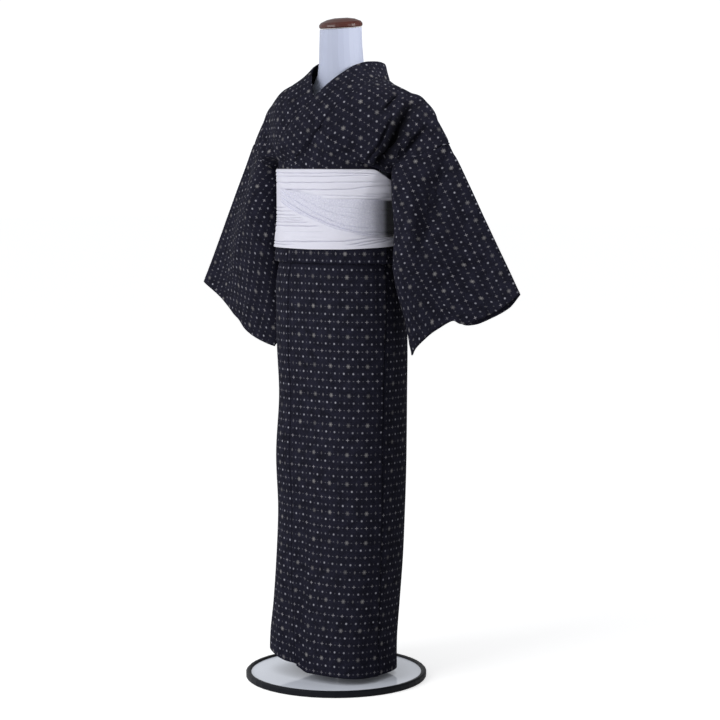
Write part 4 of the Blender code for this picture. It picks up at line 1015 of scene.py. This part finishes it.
def fine_okumi(side, count=25):
    """The front overlap strip, hem to collar."""
    u = columns_of(count, True, False)
    rows = []
    for kind, value in tuck_path():
        outer = kind == "outer"
        rows.append(wrapped_row(kind, value, side, lambda c, z: side * okumi_degrees(c, z, outer), u))
    cut = len(rows)
    offset = PLIES_LEFT[2] if side > 0 else PLIES_RIGHT[2]
    low_degrees = seam_degrees("left_okumi_seam", BODICE_Z)
    for z, edge in ((0.970, -78.0), (0.985, -68.0)):
        a = seam_degrees("left_okumi_seam", z)
        rows.append(wrap(side * (a + (edge - a) * u), z, offset))
    for z in np.linspace(1.002, BELT_EXIT_Z, 14):
        edge = np.interp(z, COLLAR_TAIL[::-1, 0], COLLAR_TAIL[::-1, 1])
        f = (z - BODICE_Z) / (BELT_EXIT_Z - BODICE_Z)
        a = low_degrees * (1 - f) + FRONT_BELT_DEGREES[0] * f
        rows.append(wrap(side * (a + (edge - a) * u), z, offset))
    first = len(COLLAR_BACK) + len(COLLAR_FRONT)
    collar_edge = collar_half(side)[0][[first + 2, first + 1, first, first - 1]]
    c = u[:, None]
    knots = np.array((0, 1 / 3, 2 / 3, 1))
    for t in np.linspace(0.06, 0.985, 16):
        seam = bodice(side, 0.0, np.interp(t, knots, ROWS[2:6]), False)[0, 0]
        edge = spline(knots, collar_edge, t)
        rows.append(seam * (1 - c) + edge * c)
    grid = np.array(rows)
    across = arc(grid, 1)
    across_degrees = np.degrees(np.arctan2(grid[..., 0], -grid[..., 1]))
    v = grain_height(grid[..., 2], across_degrees) - PHASE["okumi"][1]
    skirt = sum(k == "skirt" for k, _ in tuck_path())
    v[skirt - 1:] = v[skirt - 1:skirt] + arc(grid[skirt - 1:], 0)
    uv = np.stack([-across + PHASE["okumi"][0], v], -1)
    above = strip_uv(grid[cut:])
    uv[cut:] = above * (-1, 1) + (PHASE["okumi"][0], V_SHOULDER - OKUMI_TOP - above[..., 1].max())
    n = facing_out(normals(grid), grid * LEVEL)
    skirt_part = (1 - smooth(grid[..., 2], 0.960, 0.985)) * (0.45 + 0.55 * smooth(grid[..., 2], 0.35, 0.75))
    crease, _ = crease_height("okumi_left" if side > 0 else "okumi_right", grid, n)
    ripple = 0.0004 * value_noise(uv[..., 0] / 0.04, uv[..., 1] / 0.10, 15 + side)
    return grid + n * (seam_dip(across) + skirt_part * seam_dip(across, 0.0036, 0.0016) + crease + ripple)[...,
            None], uv


def fine_sleeve(side):
    """The sleeve as a ring of rows, front cloth then back cloth."""
    across = np.concatenate([[0, 0.0015, 0.003, 0.005], np.linspace(0.008, SLEEVE_WIDTH, 92)])
    share = np.linspace(0, 1, 60) ** 1.35
    front = [sleeve(side, across, SLEEVE_DROP * s, False) for s in share[::-1]]
    back = [sleeve(side, across, SLEEVE_DROP * s, True) for s in share[1:]]
    grid = np.array(front + back)
    ridge = len(front) - 1
    along = arc(grid, 0)
    v = along - along[ridge:ridge + 1] + V_SHOULDER
    u = arc(grid, 1)
    uv = np.stack([u, v], -1)
    n = facing_out(normals(grid, True), grid - grid.mean(0, keepdims=True))
    ripple = 0.0006 * value_noise(u / 0.06, v / 0.09, 9 + side)
    # crease relief, and painted shade that darkens the colour in the deep creases
    crease, shade = crease_height("sleeve_left" if side > 0 else "sleeve_right", grid, n)
    return grid + n * (seam_dip(u) + ripple + crease)[..., None], uv, shade


def fine_collar(across=13, fine=6):
    """The collar band, left tail round the neck to right tail."""
    v = np.linspace(0, 1, across)
    halves = []
    for side in (1, -1):
        seam, edge = collar_half(side)
        count = len(seam)
        index = np.linspace(0, count - 1, (count - 1) * fine + 1)
        last = len(COLLAR_BACK) + len(COLLAR_FRONT) - 1
        seam_fine, edge_fine = spline(np.arange(count), seam, index), spline(np.arange(count), edge, index)
        for k, f in enumerate(index):
            if f <= len(COLLAR_BACK):
                seam_fine[k] = bodice(side, 0.0, np.interp(8 + f, range(len(ROWS)), ROWS), True)[0, 0]
            elif f <= last:
                seam_fine[k] = bodice(side, 0.0, np.interp(20 - f, range(len(ROWS)), ROWS), False)[0, 0]
        grid = seam_fine[:, None] * (1 - v[:, None]) + edge_fine[:, None] * v[:, None]
        belly = np.zeros(count); belly[:len(COLLAR_BELLY)] = COLLAR_BELLY
        if side > 0:
            grid[..., 1] -= spline(np.arange(count), belly, index)[:, None] * 4 * v * (1 - v)
        halves.append(grid)
    grid = np.concatenate([halves[0][::-1], halves[1][1:]])
    wide = arc(grid, 1)
    uv = strip_uv(grid) + PHASE["collar"]
    n = facing_out(normals(grid), (grid - grid.mean((0, 1))) * LEVEL)
    round_edge = -0.0012 * np.exp(-((wide[:, -1:] - wide) / 0.003) ** 2)
    return grid + n * (seam_dip(wide) + round_edge)[..., None], uv


# -------------------------------------------------------------------- the belt
def painted_shade_under_sleeve(D, Z):
    """Painted shade on the belt in the hollow between it and the left sleeve: how far its colour is darkened
    there.
    """
    # how dark the painted shade is, growing as the belt turns towards the side
    depth = 0.22 * smooth(D, 44, 76) + 0.78 * smooth(D, 76, 83)
    return depth * (1 - smooth(D, 118, 135)) * smooth(Z, 0.954, 0.962) * (1 - smooth(Z, 1.033, 1.040))


def fine_belt(columns=200, rows=200):
    degrees = np.linspace(-180, 180, columns + 1)[:-1]
    t = np.linspace(0, 1, rows)
    low = np.interp(degrees, (-180, -54, 5, 44, 71, 87, 180),
            (0.9345, 0.9338, 0.9322, 0.9334, 0.9366, 0.9390, 0.9345))
    D = degrees + 0 * t[:, None]
    high = BELT_ROWS[-1] - 0.027 * smooth(degrees, 66, 86) * (1 - smooth(degrees, 112, 135))
    Z = low + (high - low) * t[:, None]
    offset = np.full(D.shape, BELT_OFFSET)
    grid = wrap(D, Z, offset)
    u = arc(grid, 1)
    return grid, np.stack([u, Z], -1), D


# Fine pleats: (depth, half width, (degrees, height), ...) from the wearer's right round to the left
WRAP_PLEATS = (
    (0.0014, 0.0012, (-120, 1.0950), (-63, 1.0945), (4, 1.0935), (43, 1.0942), (77, 1.0923), (140, 1.0930)),
    (0.0012, 0.0011, (-110, 1.0872), (4, 1.0867), (43, 1.0880), (68, 1.0898)),
    (0.0013, 0.0012, (-150, 1.0729), (4, 1.0736), (58, 1.0753), (100, 1.0764), (150, 1.0750)),
    (0.0016, 0.0012, (-38, 1.0587), (35, 1.0593), (51, 1.0606), (59, 1.0636), (71, 1.0671), (110, 1.0683)),
    (0.0012, 0.0010, (-36, 1.0596), (-23, 1.0539), (-15, 1.0551), (-7, 1.0592)),
    (0.0018, 0.0010, (60, 1.0500), (81, 1.0492), (120, 1.0490)), (0.0018, 0.0010, (55, 1.0456), (82, 1.0435),
        (115, 1.0440)),
    (0.0010, 0.0010, (20, 1.0475), (58, 1.0455)),
    (0.0011, 0.0010, (-160, 1.0187), (-35, 1.0198)), (0.0011, 0.0011, (-150, 1.0103), (-23, 1.0121)),
    (0.0016, 0.0011, (-170, 1.0021), (-16, 1.0043)), (0.0012, 0.0010, (-150, 0.9955), (-8, 0.9982)),
    (0.0010, 0.0009, (-100, 0.9919), (-4, 0.9939)), (0.0015, 0.0011, (-160, 0.9866), (3, 0.9893)),
    (0.0018, 0.0012, (-170, 0.9783), (18, 0.9820)), (0.0007, 0.0016, (-120, 0.9666), (29, 0.9686)),
    (0.0006, 0.0016, (-22, 0.9564), (30, 0.9575)),
    (0.0018, 0.0012, (-150, 0.9455), (-54, 0.9460), (5, 0.9490), (44, 0.9508), (58, 0.9545), (64, 0.9570),
        (78, 0.9591), (120, 0.9600)),
    (0.0012, 0.0011, (-110, 0.9397), (-18, 0.9412)),
    (0.0022, 0.0012, (47, 0.9429), (58, 0.9474), (68, 0.9516), (79, 0.9555), (110, 0.9570)),
    (0.0020, 0.0011, (56, 0.9405), (70, 0.9470), (83, 0.9520), (110, 0.9530)))
FAN_PLEATS = (
    (0.0016, 0.0012, (-47, 1.0349), (-22, 1.0159), (2, 0.9986), (19, 0.9884), (34, 0.9773), (50, 0.9690),
        (70, 0.9640), (110, 0.9640)),
    (0.0014, 0.0012, (-51, 1.0492), (-22, 1.0240), (5, 1.0041), (27, 0.9895), (44, 0.9775), (58, 0.9700),
        (100, 0.9690)),
    (0.0011, 0.0013, (-51, 1.0592), (-22, 1.0375), (5, 1.0166), (27, 0.9993), (44, 0.9837), (70, 0.9760)),
    (0.0008, 0.0014, (-38, 1.0587), (-8, 1.0395), (17, 1.0222), (36, 1.0084), (60, 0.9960)),
    (0.0006, 0.0013, (20, 1.0300), (60, 1.0180), (130, 1.0150)), (0.0006, 0.0012, (40, 1.0120), (80, 1.0060),
        (140, 1.0050)),
    (0.0006, 0.0012, (60, 0.9880), (90, 0.9850), (140, 0.9860)))


PLEAT_RELIEF = 2.0


def pleats(table, D, Z):
    """Relief of the table's pleats at these angles and heights."""
    relief = np.zeros(D.shape)
    for depth, half, *points in table:
        angle, height = np.array(points, float).T
        ends = smooth(D, angle[0] - 4, angle[0] + 6) * (1 - smooth(D, angle[-1] - 8, angle[-1] + 2))
        drift = 0.0006 * value_noise(D / 9, 0 * D, 1 + 31 * height[0])
        relief -= PLEAT_RELIEF * depth * ends * np.exp(-((Z - np.interp(D, angle, height) - drift) / half) ** 2)
    return relief


def belt_relief(D, Z):
    # the upper turns of the belt lie over the fan, and the lower ones draw in under the left arm
    over = (0.0044 * smooth(D, -5, 40) + 0.0060 * smooth(D, 60, 90)) * smooth(Z, 1.0396,
            1.0412) * (1 - smooth(D, 118, 150))
    drawn = -0.0085 * smooth(D, 66, 86) * (1 - smooth(D, 110, 140)) * (1 - smooth(Z, 1.034, 1.040)) * smooth(Z,
            0.956, 0.968)
    edge = -0.0020 * np.exp(-((BELT_ROWS[-1] - Z) / 0.0014) ** 2)
    return pleats(WRAP_PLEATS, D, Z) + over + drawn + edge + 0.0006 * value_noise(D / 25, Z / 0.02, 5)


def fine_fold(columns=220, rows=110):
    degrees = np.linspace(BELT_FOLD[0, 0], BELT_FOLD[-1, 0], columns)
    low, high = (look_up(BELT_FOLD, FOLD_COLUMNS, c, degrees) for c in FOLD_COLUMNS[1:])
    t = np.linspace(0, 1, rows)[:, None]
    Z = low + (high - 0.0008 - low) * t
    D = degrees + 0 * Z
    fan = pleats(FAN_PLEATS, D, Z) - 0.0092 * smooth(D, 66, 86) * (1 - smooth(D, 110, 140))
    fan = fan - 0.0022 * np.exp(-(t / 0.03) ** 2) - 0.0022 * (1 - smooth(D, BELT_FOLD[0, 0], BELT_FOLD[0, 0]
            + 9))
    grid = wrap(D, Z, FOLD_OFFSET + fan)
    # the third value is painted shade, darkening the fold layer's colour behind the left sleeve
    return grid, np.stack([arc(grid, 1), Z], -1), painted_shade_under_sleeve(D, Z)


def dress(node, name, slot_name, grid, uv, wall, sides, outward, **more):
    """Adds a sewn piece to the scene in place of this node."""
    obj = cloth_mesh(name, grid, uv, wall, *sides, outward, **more)
    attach(obj, "root")
    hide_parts(node)


ROBE, SASH, THIN_SASH = (COTTON, REVERSE), (BELT, BELT), (SHEER, SHEER)
for side, word in ((1, "left"), (-1, "right")):
    grid, uv, shade = fine_body(side)
    dress("body_" + word, "cloth_body_" + word, "printed_cotton", grid, uv, CLOTH_THIN, ROBE, grid * LEVEL,
            shade=shade)
    grid, uv = fine_okumi(side)
    dress("okumi_" + word, "cloth_okumi_" + word, "printed_cotton", grid, uv, CLOTH_THIN, ROBE, grid * LEVEL)
    grid, uv, shade = fine_sleeve(side)
    dress("sleeve_" + word, "cloth_sleeve_" + word, "printed_cotton", grid, uv, CLOTH_THIN, ROBE,
          grid - grid.mean(0, keepdims=True), shade=shade, ring_rows=True)
grid, uv = fine_collar()
dress("collar", "cloth_collar", "printed_cotton", grid, uv, DOUBLE_THIN, ROBE, (grid - grid.mean((0, 1)))
        * LEVEL)

grid, uv, D = fine_belt()
n = facing_out(normals(np.concatenate([grid, grid[:, :1]], 1))[:, :-1], grid * LEVEL)
# painted shade: the belt's colour is darkened where it lies behind the left sleeve
shade = painted_shade_under_sleeve(D, grid[..., 2])
grid = grid + n * belt_relief(D, grid[..., 2])[..., None]
dress("obi_wrap", "belt_wrap", "belt_cloth", grid, uv, DOUBLE_THIN, SASH, grid * LEVEL, shade=shade,
        ring_columns=True)
grid, uv, shade = fine_fold()
dress("obi_fold", "belt_fold_layer", "belt_cloth", grid, uv, CLOTH_THIN, THIN_SASH, grid * LEVEL, shade=shade)
coarse = knot_ring()
coarse = np.concatenate([coarse, coarse[:1]])
grid = refine(coarse, 4, 6)[:-1]
dress("obi_knot", "belt_knot", "belt_cloth", grid, np.stack([arc(grid, 1), arc(grid, 0)], -1),
        DOUBLE_THIN, SASH,
      grid - grid.mean(0, keepdims=True), ring_rows=True)

# ---------------------------------------------------------------- form and base
def plain(name, colour, rough, metallic=0.0, coat=0.0):
    made, tree, shader = new_material(name)
    set_inputs(shader, {"Base Color": (*colour, 1), "Roughness": rough, "Metallic": metallic,
            "Coat Weight": coat})
    return made, tree, shader


# strength of the painted glow of the glass base, seen by the camera alone
GLASS_PAINTED_GLOW = 0.43


def glow(tree, shader, colour, lift, share=None):
    """Light of its own that only the camera sees; share is a Field that says how much of it at each point."""
    seen_ray = Field(tree, tree.nodes.new("ShaderNodeLightPath").outputs["Is Camera Ray"])
    shader.inputs["Emission Color"].default_value = (*colour, 1)
    amount = (share * seen_ray if share else seen_ray) * lift
    tree.links.new(amount.socket, shader.inputs["Emission Strength"])


def object_vector(tree):
    return tree.nodes.new("ShaderNodeTexCoord").outputs["Object"]


form, tree, shader = plain("form_cloth", (0.50, 0.54, 0.69), 0.6)
shader.inputs["Sheen Weight"].default_value = 0.2
wood, tree, shader = plain("cap_wood", (0.17, 0.085, 0.045), 0.34, coat=0.12)
stretched = tree.nodes.new("ShaderNodeMapping"); stretched.inputs["Scale"].default_value = (40, 260, 260)
tree.links.new(object_vector(tree), stretched.inputs["Vector"])
grain = noise(tree, stretched.outputs[0], 1.0, 5.0, 0.6)
tree.links.new(mix(tree, grain, (0.040, 0.0092, 0.006), (0.120, 0.031, 0.022)), shader.inputs["Base Color"])
steel, _, _ = plain("pole_steel", (0.55, 0.55, 0.57), 0.3, 1.0)
glass, tree, shader = plain("base_glass", (0.72, 0.76, 0.86), 0.06, coat=0.6)
# painted light: the glass glows for the camera alone, standing in for the lit floor under it, and ambient
# occlusion paints shade on that glow beneath the robe
clear = tree.nodes.new("ShaderNodeAmbientOcclusion")
clear.inputs["Distance"].default_value = 0.30
glow(tree, shader, (0.88, 0.92, 1.0), GLASS_PAINTED_GLOW, Field(tree, clear.outputs["AO"]).math("POWER", 1.6))
rubber, _, shader = plain("rim_rubber", (0.0060, 0.0070, 0.0115), 0.40)
shader.inputs["Specular IOR Level"].default_value = 0.22
for node, made in (("form_body", form), ("form_cap", wood), ("stand_pole", steel), ("base_disc", glass),
        ("base_rim", rubber)):
    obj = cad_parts[node]
    obj.data.materials.clear()
    obj.data.materials.append(made)
    for polygon in obj.data.polygons:
        polygon.material_index = 0

# ---------------------------------------------------------------- cloth facts, as calls to cut(), which does nothing with them
def cut(name, width, length, held="draped", area=None, rests=("form_body",)):
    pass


for word in ("left", "right"):
    cut("body_" + word, 0.27, 2 * 1.60, "gathered")
    cut("okumi_" + word, 0.15, 1.42, "gathered")
    cut("sleeve_" + word, SLEEVE_WIDTH, 2 * SLEEVE_DROP, "hung")
cut("collar", 0.060, 1.35)
cut("obi_wrap", 0.17, 1.0)
cut("obi_fold", 0.07, 0.55)
cut("obi_knot", 0.14, 0.235, "folded", rests=("obi_wrap",))

# ------------------------------------------------------------ stage and camera
AZIMUTH, DISTANCE, HEIGHT, PITCH = math.radians(38.0), 4.4, 1.126, math.radians(5.5)
# The last is how far the robe stands to the side of the picture's middle
FOCAL_PIXELS, PICTURE_PIXELS, SIDE_PIXELS = 2020, 720, 19
SENSOR = 36.0
AMBIENT, FLOOR_LIFT = 0.45, 0.65
floor_mesh = bpy.data.meshes.new("floor")
floor_mesh.from_pydata([(-30, -30, 0), (30, -30, 0), (30, 30, 0), (-30, 30, 0)], [], [(0, 1, 2, 3)])
floor = add_object("floor", floor_mesh)
floor.location.z = -0.0005
white, tree, shader = plain("paper_white", (0.9, 0.9, 0.9), 0.9)
shader.inputs["Specular IOR Level"].default_value = 0.0
glow(tree, shader, (1, 1, 1), FLOOR_LIFT)
floor_mesh.materials.append(white)

world = bpy.data.worlds.new("studio")
bpy.context.scene.world = world
world.use_nodes = True
background = world.node_tree.nodes["Background"]
background.inputs[0].default_value = (0.97, 0.98, 1.0, 1)
ray = world.node_tree.nodes.new("ShaderNodeLightPath").outputs["Is Camera Ray"]
# the room is brighter on the camera's left, as beside a big soft light
at = world.node_tree.nodes.new("ShaderNodeTexCoord")
parts = world.node_tree.nodes.new("ShaderNodeSeparateXYZ")
world.node_tree.links.new(at.outputs["Generated"], parts.inputs[0])
x, y = (Field(world.node_tree, parts.outputs[k]) for k in (0, 1))
rightward = x * math.cos(AZIMUTH) + y * math.sin(AZIMUTH)
ambient = (rightward * -0.5 + 0.5).math("POWER", 1.2) * AMBIENT * 1.5 + AMBIENT * 0.21
ray = Field(world.node_tree, ray)
strength = ray * 1.08 + (ray * -1 + 1) * ambient
world.node_tree.links.new(strength.socket, background.inputs[1])


def softbox(name, place, aim, width, height, power, spread=180):
    lamp = bpy.data.lights.new(name, "AREA")
    lamp.shape, lamp.size, lamp.size_y = "RECTANGLE", width, height
    lamp.energy, lamp.spread = power, math.radians(spread)
    obj = add_object(name, lamp)
    obj.location = place
    obj.rotation_mode = "QUATERNION"
    obj.rotation_quaternion = (Vector(aim) - Vector(place)).to_track_quat("-Z", "Y")


softbox("key", (-0.9, -3.6, 2.0), (0, 0, 0.9), 2.0, 2.4, 68)
softbox("rim", (2.4, 0.7, 2.2), (0.0, 0.1, 1.42), 0.5, 0.5, 1.5, spread=24)

camera_data = bpy.data.cameras.new("camera")
camera_data.sensor_width, camera_data.lens = SENSOR, SENSOR * (FOCAL_PIXELS / PICTURE_PIXELS)
camera = add_object("camera", camera_data)
camera.location = Vector((DISTANCE * math.sin(AZIMUTH) + ON_STAND[0], -DISTANCE * math.cos(AZIMUTH)
        + ON_STAND[1], HEIGHT))
heading = AZIMUTH - math.atan(SIDE_PIXELS / FOCAL_PIXELS)
look = Vector((-math.sin(heading) * math.cos(PITCH), math.cos(heading) * math.cos(PITCH), -math.sin(PITCH)))
camera.rotation_mode = "QUATERNION"
camera.rotation_quaternion = look.to_track_quat("-Z", "Y")
camera_data.clip_end = 100
bpy.context.scene.camera = camera
bpy.context.scene.view_settings.view_transform = "Standard"
